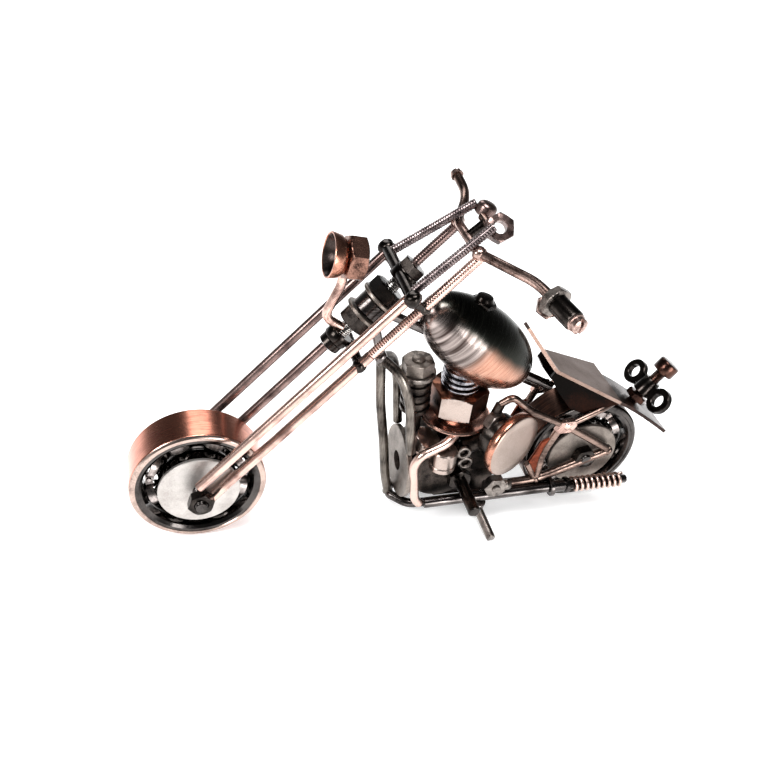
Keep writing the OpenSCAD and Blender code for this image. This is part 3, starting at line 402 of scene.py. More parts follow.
# radius of the frame and fork wire, and where the near wire of each fork pair runs
wire_r = 1.2
front_p, front_y = -1.4, -9.65
rear_p, rear_y = 4.6, -7.55
rise = np.linspace(0, 1, 80)[:, None]
front_wire = steer(np.array([front_p, front_y, 3.0]) + rise * [0, 0, 67.4])
rear_low = steer(np.array([rear_p, rear_y, -3.0]) + rise * [0, 0, 56.0])
ribs = np.linspace(53.0, 85.8, 420)[:, None]
rear_high = steer(np.array([rear_p, rear_y, 0.0]) + ribs * [0, 0, 1.0])
rib_pitch = 0.62
ribbed = wire_r - 0.1 * (0.5 - 0.5 * np.cos(2 * np.pi * ribs[:, 0] / rib_pitch))
near_wires = [wire(front_wire, wire_r, 28), wire(rear_low, wire_r, 28), wire(rear_high, ribbed, 24)]
# The far side's wires take the darker copy: painted shade.
piece("fork_wire_set", "steering", ["fork_wires"], "copper_plate", (wire_copper, *near_wires),
      (dark_wire_copper_and_shade, *both_sides(near_wires)[1::2]))

# Bridge: a thick cross wire with ball ends joins the front wires above the stem, short links tie it back to
# the rear wires, and a lower wire carries the foot of the stem.  All are brazed where they cross.
across = steer(np.stack([np.full(40, front_p), np.linspace(-11.2, 11.2, 40), np.full(40, 69.4)], 1))
low_bar = steer(np.stack([np.full(30, rear_p), np.linspace(-7.6, 7.6, 30), np.full(30, 49.4)], 1))
knobs = [leaned(bead(*knob)) for knob in (((front_p, -10.85, 69.4), 1.95, 1.0),
                                          ((rear_p, rear_y, 49.4), 1.55, 2.0),
                                          ((rear_p, rear_y, 68.6), 1.5, 3.0))]
link = wire(steer(np.linspace([front_p, front_y, 68.4], [rear_p, rear_y, 68.4], 12)), 1.08)
collars = [turned([(1.52, 0), (2.9, 0), (3, 0.15), (3, high - 0.15), (2.9, high), (1.52, high)],
                  *steer([[0, 0, q], [0, 0, q + 1]]), 40, True) for q, high in ((48.2, 2.4), (68.0, 2.8))]
foot_link = wire(steer(np.linspace([1.4, 0, 49.4], [rear_p, 0, 49.4], 8)), wire_r)
piece("fork_bridge_set", "steering", ["fork_bridge"], "black_nickel",
      (black_nickel, wire(across, 1.38), wire(low_bar, wire_r), foot_link, *collars,
       *both_sides(knobs + [link])))

# Steering stem: a bare screw stands through the bridge and the frame's neck.  Its head and its cap nut are
# black nickel, as are the two lock nuts, and a dull grey-brown washer lies on each side of the neck.
# Screw steel as it leaves the die: a clear sheen, with grey in its grooves.
screw_steel = metal("bright_screw_steel", "#c2beba", "#4c4845", 0.26, patch=2, grain=0.3, bump=0.01)
# Steel scuffed grey, its hollows left dark.
grey_steel = metal("scuffed_grey_steel", "#8f8781", "#3b3532", 0.34, patch=2.5, grain=0.2, bump=0.02)
stem_foot, stem_top = steer([0, 0, 46.0]), steer([0, 0, 75.0])
ahead_of_stem = (0.743, 0, -0.669)
stem = threaded(steer([0, 0, 46.6]), steer([0, 0, 72.4]), 1.5, 0.5, 0.16)
head = turned([(2.2, 0), (2.7, 0.3), (2.7, 1.9), (2.4, 2.2), (1.5, 2.2)], stem_foot, stem_top, 32)
cap = hexagon(5.5, 2.4, 0, steer([0, 0, 70.8]), stem_top, ahead_of_stem)
piece("steering_stem", "steering", ["stem_screw"], "bare_steel", (screw_steel, stem),
      (black_nickel, head, cap))
discs = [turned([(1.52, 0), (4.35, 0), (4.5, 0.15), (4.5, 0.65), (4.35, 0.8), (1.52, 0.8)],
                steer([0, 0, q]), stem_top, 64, True) for q in (56.7, 61.7)]
lock_nuts = [hexagon(7, 3.2, 1.52, steer([0, 0, q]), stem_top, corner)
             for q, corner in ((53.48, ahead_of_stem), (62.52, (0, 1, 0)))]
piece("stem_nut_stack", "steering", ["stem_nuts"], "black_nickel", (grey_brown_washer_and_shade, *discs),
      (black_nickel, *lock_nuts))

# Risers: two screws cut from zinc plated stud lean in from the bridge to the gauges, with their thread left
# to show.  They are brazed at both ends.
# Old zinc plate: the crests of the thread catch the light and the grooves are nearly black.
stud_steel = metal("dark_zinc_stud", "#8a7d7c", "#2c2426", 0.27, patch=2, grain=0.2, bump=0.01)
stud = threaded(steer([front_p, -8.75, 69.4]), steer([2.4, -5.6, 91.2]), 1.12, 0.62, 0.18, 24)
piece("riser_studs", "steering", ["threaded_risers"], "bare_steel", (stud_steel, *both_sides([stud])))

# Handlebar: one wire, straight between the rear fork wires.  The near arm, drawn pale as painted light, runs
# back and out to a thick black grip with a hexagon collar, a nut brazed on beside it and a slotted screw in
# its end; the far arm is bent up and drawn dark as painted shade, and ends in a small slotted screw.
# Copper plate on the bar in two copies: the dark brown one on the far arm is painted shade (it also colours
# the gauge shelf), the pale warm one on the near arm is painted light.
dark_bar_copper_and_shade = metal("dark_copper_plated_bar", "#8f776d", "#241a17", 0.26, patch=4, grain=0.25,
                   streak=(1, 0.06, 1), bump=0.01)
lit_near_bar_copper = metal("copper_plated_bar_painted_light", "#bda197", "#3a2a25", 0.26, patch=4, grain=0.25,
                    streak=(1, 0.06, 1), bump=0.01)
# Copper plate worn thin and pale on the little screws and the nut.
grey_copper = metal("pale_worn_copper_plate", "#c4aaa1", "#4f3932", 0.28, patch=1.5, grain=0.2,
                    bump=0.01)
grip_in = np.array([10.7, -25.5, 91.3])
grip_dir = unit([2.05, -9.5, 0.85])
far_tip = np.array([3.4, 20.5, 91.05])
far_dir = unit([-1.2, 3.7, 0.5])
bar_path = bent([grip_in + 0.5 * grip_dir, (8.6, -20.9, 90.8), (3.6, -7.15, 85.2), (3.6, 7.15, 85.2),
                 (4.2, 11.6, 88.9), (4.7, 16.2, 90.4), far_tip], 2.4)
bar_lumps = [leaned(bead((3.7, -7.5, 85.3), 1.6, 0.5)), leaned(bead((3.7, 7.5, 85.3), 1.5, 2.5))]
bar_rows = wire(steer(bar_path), 1.1)[0]
middle = len(bar_rows) // 2
# Near half in the pale copy as painted light, far half in the dark copy as painted shade.
piece("handlebar_wire", "steering", ["handlebar"], "dark_copper",
      (lit_near_bar_copper, (bar_rows[:middle + 1], False), *bar_lumps), (dark_bar_copper_and_shade, (bar_rows[middle:], False)))


def slotted(radius, height, slot, base, toward):
    """A round screw end: a turned button with a slot, 0.7 mm deep, pressed through the middle of its top."""
    base, toward = np.asarray(base, float), np.asarray(toward, float)
    way = unit(toward - base)
    rings = np.array([1.0, 0.92, 0.8, 0.6, 0.42, 0.3, 0.18, 0.08]) * radius
    crown = height - 0.35 * (rings / radius) ** 4
    button = [(radius + 0.2, 0), (radius + 0.2, 0.42), (radius, 0.5), (radius, height - 0.5),
              *zip(rings, crown)]
    grid, ring = turned(button, base, toward, 72)
    level = (grid - base) @ way
    side = (grid - base) @ np.cross(way, [0.0, 0.0, 1.0])
    bottom = height - 0.7
    sunk = np.where((np.abs(side) < slot / 2) & (level > bottom), bottom - level, 0)
    return grid + sunk[..., None] * way, ring


sleeve_end = grip_in + 7.75 * grip_dir
sleeve = turned([(1.9, 0), (2.2, 0.2), (2.2, 7.3), (2.1, 7.6), (1.8, 7.75)], steer(grip_in), steer(sleeve_end),
                56)
collar = hexagon(6, 1.8, 0, steer(grip_in), steer(sleeve_end), (0, 0, 1))
piece("grip_sleeve", "steering", ["grips"], "black_nickel", (black_nickel, sleeve), (grey_steel, collar))
piece("grip_end_screws", "steering", ["grip_screws"], "copper_plate",
      (grey_copper, slotted(1.75, 2.0, 0.6, steer(sleeve_end), steer(sleeve_end + grip_dir)),
       slotted(1.3, 1.6, 0.5, steer(far_tip), steer(far_tip + far_dir))))
side_nut_in = grip_in + [1.1, 0.4, -1.7]
side_nut_dir = unit([-0.6, -0.75, 0.27])
grip_nut = hexagon(4.6, 1.8, 1.1, steer(side_nut_in - 0.9 * side_nut_dir), steer(side_nut_in + side_nut_dir),
                   (0, 0, 1))
piece("grip_side_nut", "steering", ["grip_nuts"], "copper_plate", (grey_copper, grip_nut))

# Gauges: a nut and a domed cap nut on the risers stand for the two dials.  Both are copper plate gone dark, on
# a black stalk and a short shelf of wire, brazed together.
dial = np.array([4.6, -4.2, 91.6])
dial_dir = unit([-0.5, -0.7, 0.4])
ring_nut = hexagon(5.8, 2.4, 1.4, steer(dial - 1.2 * dial_dir), steer(dial + dial_dir), (0, 0, 1))
dome_tilt = np.radians(-22)
dome_at, dome_over = steer([[4.6, 4.2, 91.6], [4.6 + np.sin(dome_tilt), 4.2, 91.6 + np.cos(dome_tilt)]])
dome = turned([(2.1, 0), (2.3, 0.2), (2.3, 1.9), (2.2, 2.3), (1.9, 2.7), (1.4, 2.98), (0.7, 3.1)],
              2.2 * dome_at - 1.2 * dome_over, dome_over, 36)
stalk = wire(steer(np.linspace([3.6, 0, 85.2], [4.0, 0, 90.2], 8)), 1.0)
shelf = wire(steer(np.linspace([4.0, -2.0, 90.2], [4.0, 2.4, 90.2], 8)), 1.0)
piece("gauge_pair", "steering", ["gauges"], "black_nickel", (dark_wire_copper_and_shade, ring_nut, dome), (black_nickel, stalk),
      (dark_bar_copper_and_shade, shelf))

# Headlamp: a spun copper cup on a big hexagon nut, with a screw head for its bulb, carried on a bent wire that
# comes forward from the foot of the stem.
# Copper plate on a spun cup: a warm, clear sheen that darkens in soft clouds.
lamp_copper = metal("spun_copper_plate", "#b5816d", "#3f241c", 0.24, patch=4, grain=0.3, cover=0.42, bump=0.01)
# The nut's plate went brown as the cup was brazed on.
lamp_nut = metal("browned_copper_nut", "#8f6a5c", "#2a1c18", 0.26, patch=4, grain=0.3, bump=0.01)
# The inside of the cup, drawn near black.
lamp_dark = metal("near_black_lamp_bowl", "#3f3633", "#141110", 0.3, patch=3, grain=0.3, bump=0.01)
bracket = wire(steer(bent([(-1, 0, 51.5), (-6.2, 0, 50.9), (-9.2, 0, 59.2), (-11.4, 0, 61.8)], 2.4)), 1.1)
piece("lamp_bracket_wire", "steering", ["lamp_bracket"], "copper_plate", (wire_copper, bracket))
lamp_tilt = np.radians(90 + 42 - 10)
lamp = steer([-13.6, 0, 64.2])
out = steer([-13.6 - np.sin(lamp_tilt), 0, 64.2 + np.cos(lamp_tilt)]) - lamp
cup = [(0.01, 0), (3.2, 0), (3.9, 0.5), (4.6, 1.4), (4.82, 2.4), (5.0, 3.3), (5.0, 3.5), (4.9, 3.6),
       (4.6, 3.6), (4.52, 3.45)]
bowl = [(4.52, 3.45), (4.1, 2.7), (3.7, 1.95), (2.9, 1.2), (0.2, 1.0)]
piece("headlamp_shell", "steering", ["headlamp_cup"], "copper_plate",
      (lamp_copper, (turned(cup, lamp, lamp + out, 64)[0][:-1], False)),
      (lamp_dark, (turned(bowl, lamp, lamp + out, 64)[0][1:], False)))
piece("headlamp_back_nut", "steering", ["headlamp_nut"], "black_nickel",
      (lamp_nut, hexagon(9, 4, 0, lamp - 4 * out, lamp, (0, 0, 1))))
bulb = turned([(2.2, 0), (2.1, 0.4), (1.7, 0.8), (1.2, 1.02), (0.6, 1.1)], lamp + 1.0 * out, lamp + 2 * out,
              36)
piece("headlamp_bulb_screw", "steering", ["headlamp_lens"], "bare_steel", (screw_steel, bulb))

# Frame: the backbone, down tubes, bottom rails, rear arms and stays are bent from 2.4 mm wire or a little
# thinner.  The backbone and rails are black nickel, the down tubes grey scaled steel, and the rest copper that
# went brown with the heat of brazing, with a lump of braze at every joint.
# Copper plate browned by the torch: warm grey streaks along the wire over near black.
heat_wire = metal("heat_browned_copper_wire", "#8c766c", "#2c221f", 0.27, patch=7, grain=0.3,
                  streak=(0.06, 1, 1), bump=0.012)
# Black nickel on drawn wire: dark and glossy, with one long highlight.
nickel_wire = metal("black_nickel_wire", "#6a6462", "#1c1918", 0.2, patch=8, grain=0.3, streak=(0.06, 1, 1),
                    bump=0.01)
# Wire that lost its plate: grey steel with a thin scale.
tube_wire = metal("grey_scaled_steel_wire", "#79726b", "#2e2926", 0.3, patch=6, grain=0.3, streak=(1, 1, 0.06),
                  bump=0.012)
# The webs of the stay plates, tinted red-brown by the flame.
web_bronze = metal("red_brown_heat_tinted_web", "#7d3d2a", "#36180f", 0.4, patch=2.5, grain=0.2,
                   bump=0.02)


def lumps(*places):
    """A shell for every braze lump given as (x, y, z, size)."""
    return [bead(at[:3], at[3], seed=3.1 * i + at[0]) for i, at in enumerate(places)]


def plank(outline, base, along, up, thick, edge=0.15):
    """A flat plate: the outline, given as distances along two directions, is swept through its thickness, with
    both rims drawn in by `edge` mm; its two faces are fans to the middle."""
    outline = np.asarray(outline, float)
    middle = np.repeat(outline.mean(0)[None], len(outline), 0)
    along, up = unit(along), unit(up)
    drawn_in = outline - (outline - middle) / np.linalg.norm(outline - middle, axis=1)[:, None] * edge
    rows = [np.asarray(base, float) + line[:, :1] * along + line[:, 1:] * up + level * np.cross(along, up)
            for line, level in ((middle, 0), (drawn_in, 0), (outline, edge), (outline, thick - edge),
                                (drawn_in, thick), (middle, thick))]
    return np.stack(rows), False


neck_at = np.array([38.505, 0, 61.529])
spine = wire(np.linspace(neck_at + [2.6, 0, -1.4], [88.5, 0, 34.8], 30), wire_r)
neck_web = wire(np.linspace(neck_at + [0.6, 0, -2.0], [42.4, 0, 47.2], 16), wire_r)
neck = turned([(1.55, 0), (3.3, 0), (3.5, 0.25), (3.5, 3.35), (3.3, 3.6), (1.55, 3.6)], steer([0, 0, 57.8]),
              stem_top, 64, True)
piece("backbone_wire", "frame", ["backbone"], "black_nickel",
      (nickel_wire, spine, neck_web, neck, *lumps((42.2, 0, 47.6, 1.75))))

tube = wire(bent([(42.4, 0, 47.2), (43.6, 0, 34.4), (46, 0, 21), (47.6, 0, 9.5), (49.1, 0, 3.4)], 5), wire_r)
branch = wire(bent([(42.4, -0.1, 47.2), (46.6, -4.2, 44.6), (49.2, -6, 37), (51.2, -6.2, 22)], 3), wire_r)
piece("down_tube_wires", "frame", ["down_tubes"], "bare_steel",
      (tube_wire, tube, *both_sides([branch]), *lumps((42.6, 0, 46.4, 1.7), (49.0, 0, 3.6, 1.35))))

rail = bent([(49.3, 0, 3.3), (49.3, -1.3, 3.3), (53.2, -5, 3), (84, -5, 3), (89, -8, 9.8)], 2)
piece("bottom_rail_wires", "frame", ["bottom_rails"], "black_nickel",
      (nickel_wire, *both_sides([wire(rail, wire_r)])))

arm_y = -8
arm_rod = wire(bent([(72, arm_y, 10), (86, arm_y, 10), (105.6, arm_y, 18.2)], 5), wire_r)
back_rod = wire(np.linspace([91.6, arm_y, 27.7], [105.8, arm_y, 18.4], 14), 1.02)
down_rod = wire(bent([(89.1, arm_y, 26.8), (86.5, arm_y, 19.5), (86.6, arm_y, 10.3)], 3), 1.02)
side_rod = wire(np.linspace([82.7, arm_y, 16.4], [86.2, arm_y, 10.4], 10), 0.9)
arm_lumps = lumps((105.4, arm_y, 18.3, 1.4), (86.4, arm_y, 10.5, 1.4))
piece("rear_arm_wires", "frame", ["rear_arms"], "bare_steel",
      (heat_wire, *both_sides([arm_rod, back_rod, down_rod, side_rod] + arm_lumps)))

stay = wire(bent([(89.6, arm_y, 28.8), (79.7, arm_y, 34), (74.9, -7, 38), (72.4, -6.2, 35.4)], 2.4), 0.96)
piece("upper_stay_wires", "frame", ["upper_stays"], "bare_steel", (heat_wire, *both_sides([stay])))

tab = plank([(-2.6, -1.2), (-1.6, -2), (0.2, -2), (2, -1.8), (3, 0.4), (2.2, 1.8), (0.4, 1.8), (-1.4, 1.6)],
            (90.6, -7.4, 28.3), (1, 0, 0), (0, 0, 1), 1.6)
web = plank([(-0.4, 2), (-0.2, 5.4), (0.6, 9.4), (1.8, 14.8), (-0.6, 13.4), (-1.7, 10.2), (-2.9, 6.8),
             (-1.6, 4.4)], (86, -7.6, 10), (1, 0, 0), (0, 0, 1), 0.8)
piece("stay_plate_pair", "frame", ["stay_plates"], "copper_plate",
      (wire_copper, *both_sides([tab] + lumps((91.0, -8.1, 28.6, 1.5)))), (web_bronze, *both_sides([web])))

fender_stay = wire(bent([(93, arm_y, 28.9), (100.6, -7.8, 32.5), (105.5, -5.4, 33)], 2.5), 0.78)
piece("fender_stay_wires", "frame", ["fender_stays"], "copper_plate", (heat_wire, *both_sides([fender_stay])))

# Tank: an egg-shaped solid turned on a lathe and plated, nickel grey ahead and copper behind, with fine rings
# from the tool and a top drawn greenish black as a painted dark reflection.  A hexagon screw head with a
# rounded crown is its cap.
tank_slope = np.radians(38)
tank_in = np.array([65.45, 0, 50.46])


def tank_metal():
    """Plate on a turned body, copper at the rear and nickel grey toward the front.

    Fine rings lie round the long axis at 0.35 mm and wide bands at 1.6 mm.  With x along the axis to the rear
    and z square to it, grey = smoothstep(-x / 4 mm).  The black share, a painted dark reflection on the top, =
    smoothstep((0.1 + lift) / 0.85), where lift = (z + 0.5 mm) / 5 mm - 0.35 + 0.35 * noise, so the top is
    black.
    """
    mat = bpy.data.materials.new("turned_copper_plate_with_painted_dark_top")
    tree = cleared(mat)
    where = add(tree, "ShaderNodeTexCoord")
    place = add(tree, "ShaderNodeMapping",
                {"vector_type": "TEXTURE", "Location": bike(tank_in).tolist(), "Rotation": (0, tank_slope, 0)},
                {"Vector": (where, "Object")})
    axes = add(tree, "ShaderNodeSeparateXYZ", links={"Vector": (place, "Vector")})
    long = add(tree, "ShaderNodeMapping", {"Scale": (1, 0.05, 0.05)}, {"Vector": (place, "Vector")})
    rings = add(tree, "ShaderNodeTexNoise", {"Scale": 1000 / 0.35, "Detail": 2.0, "Roughness": 0.6},
                {"Vector": (long, "Vector")})
    bands = add(tree, "ShaderNodeTexNoise", {"Scale": 1000 / 1.6, "Detail": 2.0, "Roughness": 0.6},
                {"Vector": (long, "Vector")})
    cloud = add(tree, "ShaderNodeTexNoise", {"Scale": 1000 / 6.0, "Detail": 2.0, "Roughness": 0.5},
                {"Vector": (place, "Vector")})
    high = add(tree, "ShaderNodeMapRange", {"From Min": -0.0005, "From Max": 0.0045, "To Min": -0.35,
                                            "To Max": 0.65, "clamp": False}, {"Value": (axes, "Z")})
    painted_dark_top_lift = add(tree, "ShaderNodeMath", {"operation": "MULTIPLY_ADD", 1: 0.35},
               {0: (cloud, "Fac"), 2: (high, "Result")})
    black = add(tree, "ShaderNodeMapRange",
                {"interpolation_type": "SMOOTHSTEP", "From Min": -0.1, "From Max": 0.75},
                {"Value": (painted_dark_top_lift, "Value")})
    grey = add(tree, "ShaderNodeMapRange",
               {"interpolation_type": "SMOOTHSTEP", "From Min": 0.0, "From Max": -0.004},
               {"Value": (axes, "X")})
    contrast = add(tree, "ShaderNodeMapRange", {"From Min": 0.38, "From Max": 0.62}, {"Value": (bands, "Fac")})
    warm = add(tree, "ShaderNodeMix", {"data_type": "RGBA", 6: linear("#8a5642"), 7: linear("#cfa48f")},
               {0: (rings, "Fac")})
    cold = add(tree, "ShaderNodeMix", {"data_type": "RGBA", 6: linear("#3a302d"), 7: linear("#a89c97")},
               {0: (contrast, "Result")})
    sides = add(tree, "ShaderNodeMix", {"data_type": "RGBA"},
                {0: (grey, "Result"), 6: (warm, 2), 7: (cold, 2)})
    # Painted dark reflection: the tank's top is drawn greenish black.
    color = add(tree, "ShaderNodeMix", {"data_type": "RGBA", 7: linear("#2b2c28")},
                {0: (black, "Result"), 6: (sides, 2)})
    rough = add(tree, "ShaderNodeMapRange", {"From Min": 0.35, "From Max": 0.65, "To Min": 0.3,
                                             "To Max": 0.18}, {"Value": (rings, "Fac")})
    lift = add(tree, "ShaderNodeBump", {"Strength": 0.5, "Distance": 0.00002}, {"Height": (rings, "Fac")})
    skin = add(tree, "ShaderNodeBsdfPrincipled", {"Metallic": 1.0},
               {"Base Color": (color, 2), "Roughness": (rough, "Result"), "Normal": (lift, "Normal")})
    add(tree, "ShaderNodeOutputMaterial", links={"Surface": (skin, "BSDF")})
    return mat


tank_dir = np.array([np.cos(tank_slope), 0, -np.sin(tank_slope)])
lat = np.linspace(0, np.pi, 90)[1:-1]
egg = turned(np.stack([9.25 * np.sin(lat) * (1 - 0.06 * np.cos(lat)), -18 * np.cos(lat)], 1), tank_in,
             tank_in + tank_dir, 128)
piece("tank_body", "frame", ["fuel_tank"], "copper_plate", (tank_metal(), egg))
cap_lean = np.radians(10)
cap_dir = np.array([np.sin(cap_lean), 0, np.cos(cap_lean)])
cap_in = np.array([65.22, 0, 60.78]) - 1.6 * cap_dir
crown = turned([(2.75, 0), (2.75, 0.25), (2.35, 0.55), (2.2, 0.9), (1.9, 1.5), (0.9, 1.66)],
               cap_in + 2.0 * cap_dir, cap_in + 4 * cap_dir, 72)
piece("tank_cap_screw", "frame", ["tank_cap"], "black_nickel",
      (black_nickel, hexagon(5.5, 2.4, 0, cap_in, cap_in + cap_dir, (0, 1, 0)), crown))

# Seat: one copper plated sheet, narrow nose bent up behind the tank, flat saddle widening to the rear and side
# flaps bent down.  Its upper face is worn grey and satin; its flaps are drawn nearly black as painted shade.
# Plated sheet rubbed with cloth: satin, brushed along the saddle, grey over brown.
seat_metal = metal("satin_worn_copper_sheet", "#8f7b72", "#6a5348", 0.34, patch=9, grain=0.18,
                   streak=(0.12, 1, 1), turn=(0, np.radians(25.3), 0), cover=0.52, bump=0.012)
# The same sheet on the side flaps, drawn nearly black with a dull gleam as painted shade.
flap_painted_shade = metal("copper_sheet_painted_shade", "#27150f", "#0b0908", 0.34, patch=9, grain=0.25, cover=0.62,
                   bump=0.015)


def sheet(rows, thick, out):
    """A bent sheet: rows of points across it, moved by +-thick / 2 along `out` and closed along the edges."""
    rows = np.asarray(rows, float)
    face = np.asarray(out, float)
    face = face / np.linalg.norm(face, axis=-1, keepdims=True)
    upper, lower = rows + face * thick / 2, rows - face * thick / 2
    loop = np.concatenate([upper, rows[:, -1:], lower[:, ::-1], rows[:, :1]], 1)
    first, last = (np.broadcast_to(row.mean(0), loop[0].shape)[None] for row in (rows[0], rows[-1]))
    return np.concatenate([first, loop, last]), False


def square_up(line):
    """Directions square to a line in the bike's middle plane, on its upper side: its own steps (dx, 0, dz)
    turned by a quarter to (-dz, 0, dx)."""
    ahead = np.gradient(line, axis=0)
    return np.stack([-ahead[:, 2], 0 * ahead[:, 1], ahead[:, 0]], -1)


drop = np.radians(25.306)
fore, aft = np.array([85.9, 0, 42.6]), np.array([104.3, 0, 33.9])
nose = np.array([77.3, 0, 53.6])
spine_line = np.concatenate([nose + (fore - nose) * np.linspace(0, 1, 26)[:, None] * 0.94,
                             fore + (aft - fore) * np.linspace(0.02, 1, 34)[:, None]])
length = np.concatenate([[0], np.cumsum(np.linalg.norm(np.diff(spine_line, axis=0), axis=1))])
half = np.interp(length, [0, 13.2, 14.2, length[-1]], [1.3, 4.5, 4.6, 8.35])
cross = np.linspace(-1, 1, 25)
over = square_up(spine_line)
over /= np.linalg.norm(over, axis=1)[:, None]
saddle = (spine_line[:, None] + half[:, None, None] * cross[None, :, None] * np.array([0, 1, 0])
          + 0.45 * over[:, None])
saddle_shell = sheet(saddle, 0.86, np.broadcast_to(over[:, None], saddle.shape))
flap_share = np.linspace(0.0, 0.98, 40)
flap_top = fore + (aft - fore) * flap_share[:, None]
saddle_long = 20.35
along = flap_share * saddle_long
depth = np.interp(along, [0, 0.2 * saddle_long, 0.48 * saddle_long, 0.66 * saddle_long, 0.98 * saddle_long],
                  [1.6, 4.2, 6.9, 6.6, 0.15])
down = np.array([-np.sin(drop), 0, -np.cos(drop)])
fall = np.linspace(0, 1, 12)
flap = flap_top[:, None] + depth[:, None, None] * fall[None, :, None] * down
flap[:, :, 1] = -(np.interp(along, [0, saddle_long], [4.6, 8.4])[:, None] - 0.42) + 0 * fall
side_out = np.broadcast_to(np.array([-0.2, -0.98, 0.0]), flap.shape)
# The side flaps carry the painted shade.
piece("seat_sheet", "frame", ["seat"], "copper_plate", (seat_metal, saddle_shell),
      (flap_painted_shade, *both_sides([sheet(flap, 0.8, side_out)])))

# Rear fender: a strip of the same sheet bent down behind the seat, blackened, with the long tail screw through
# it.  The screw is a plated cheese head browned by heat; the wing nut on it turns freely and is black.
share = np.linspace(0, 1, 40)[:, None]
start, corner, end = np.array([102.1, 0, 34.2]), np.array([109.1, 0, 31.6]), np.array([122.9, 0, 20.9])
bend = (1 - share) ** 2 * start + 2 * share * (1 - share) * corner + share ** 2 * end
bend = np.concatenate([[start + [-1.5, 0, 0.3]], bend[1:]])
strip = bend[:, None] + 6 * np.linspace(-1, 1, 21)[None, :, None] * np.array([0, 1.0, 0])
# Sheet plated dark brown: glossy, with faint marks across the strip.
fender_metal = metal("dark_brown_plated_sheet", "#4c3a34", "#171312", 0.3, patch=6, grain=0.25,
                     streak=(1, 0.1, 1), cover=0.55, bump=0.012)
piece("rear_fender_strip", "frame", ["rear_fender"], "dark_copper",
      (fender_metal, sheet(strip, 0.88, np.broadcast_to(square_up(bend)[:, None], strip.shape))))
# Copper plate darkened by heat: brown-black, with a warm edge to its highlights.
tail_metal = metal("heat_darkened_copper_screw", "#4f372f", "#120d0c", 0.24, patch=4, grain=0.3,
                   bump=0.01)
tail_rise = np.radians(56)
tail = np.array([114.1, 0, 28.0])
tail_dir = np.array([np.cos(tail_rise), 0, np.sin(tail_rise)])


def tail_at(up):
    """The point `up` mm along the tail screw."""
    return tail + up * tail_dir


shank = threaded(tail_at(-0.98), tail_at(10.6), 1.5, 0.5, 0.16)
cheese = turned([(2.4, 0), (2.78, 0.08), (2.9, 0.3), (2.9, 2.9), (2.75, 3.25), (2.4, 3.4)], tail_at(10.4),
                tail_at(12), 64)
piece("tail_screw_plated", "frame", ["tail_screw"], "copper_plate",
      (tail_metal, shank, cheese, hexagon(5.5, 1.7, 0, tail_at(0.6), tail_at(2), (0, 1, 0))))
wing_hub = turned([(1.55, 0), (2.5, 0), (2.7, 0.2), (2.62, 1.4), (2.34, 4.4), (2.2, 4.6), (1.55, 4.6)],
                  tail_at(2.9), tail_at(4), 56, True)
flat_dir = np.array([np.sin(tail_rise), 0, -np.cos(tail_rise)])
ear_in = tail_at(5.2) + [0, -6.5, 0]
ear_ring = turned([(1.77, 0.1), (1.9, 0), (3.2, 0), (3.4, 0.2), (3.4, 1.5), (3.2, 1.7), (1.9, 1.7),
                   (1.77, 1.6)], ear_in - 0.85 * flat_dir, ear_in + flat_dir, 64, True)
arm_web = plank([(1.9, -1.65), (3.2, -1.6), (4.4, -1.6), (4.4, 1.6), (3.2, 1.6), (1.9, 1.65)],
                tail_at(5.2) + 0.82 * flat_dir, (0, -1, 0), tail_dir, 1.64)
piece("wing_nut_body", "wing", ["wing_nut"], "black_nickel",
      (black_nickel, wing_hub, *both_sides([ear_ring, arm_web])))

# Engine: a thick steel slug on edge is the crankcase, with a box under it, a short barrel and a nut brazed to
# its side.  A plain washer faces it in front.  The front cylinder is a stack of washers on a rod under a nut.
# Zinc plate on plain nuts: pale warm grey with an even, soft gleam.
nut_metal = metal("bright_zinc_nut_steel", "#aa9b93", "#7d7069", 0.3, patch=6, grain=0.25, cover=0.42,
                  bump=0.008)
# Steel blackened in the flame: near black, mottled and half matt.
case_iron = metal("blackened_crankcase_steel", "#4c443f", "#171413", 0.34, patch=3, grain=0.25, cover=0.52,
                  bump=0.02)
flat_top = 22
slug = turned([(7.6, -6.6), (8.0, -6.5), (8.2, -6.2), (8.2, 6.2), (8.0, 6.5), (7.6, 6.6)], (60, 0, 15),
              (60, 1, 15), 96)
slug[0][:, :, 2] = np.minimum(slug[0][:, :, 2], flat_top)
post = turned([(3.6, 0), (3.6, 4.0)], (63.6, 0, flat_top), (63.6, 0, 30), 40)
sump = plank([(0, -3.9), (0.3, -4.2), (15.7, -4.2), (16, -3.9), (16, 3.9), (15.7, 4.2), (0.3, 4.2), (0, 3.9)],
             (60, 0, 4.2), (1, 0, 0), (0, 1, 0), 8, 0.2)
barrel = turned([(3.0, 0), (3.3, 0.25), (3.3, 1.4), (3.1, 1.6), (3.1, 1.9), (3.3, 2.1), (3.3, 5.6), (3.0, 6.0),
                 (1.4, 6.0), (1.2, 5.7)], (59.5, -7.4, 17.4), (59.5, -7.4, 30), 56)
nut_back, nut_side = np.radians(24), np.radians(16)
nut_axis = np.array([np.cos(nut_side) * np.sin(nut_back), -np.sin(nut_side),
                     np.cos(nut_side) * np.cos(nut_back)])
nut_foot = np.array([55, -3.6, 21.6])
side_nut = hexagon(7, 3.2, 0, nut_foot, nut_foot + nut_axis, (np.cos(nut_back), 0, -np.sin(nut_back)))
piece("crankcase_slug", "frame", ["crankcase"], "black_nickel", (case_iron, slug, post, sump),
      (nut_metal, barrel, side_nut), (heat_wire, *lumps((60.2, -4.9, 21.8, 1.9), (57.6, -5.6, 18.6, 1.5))))
face = turned([(2.6, 0), (9.2, 0), (9.4, 0.2), (9.4, 1.2), (9.2, 1.4), (2.6, 1.4)], (50.3, 0, 14.1),
              (60, 0, 14.1), 96, True)
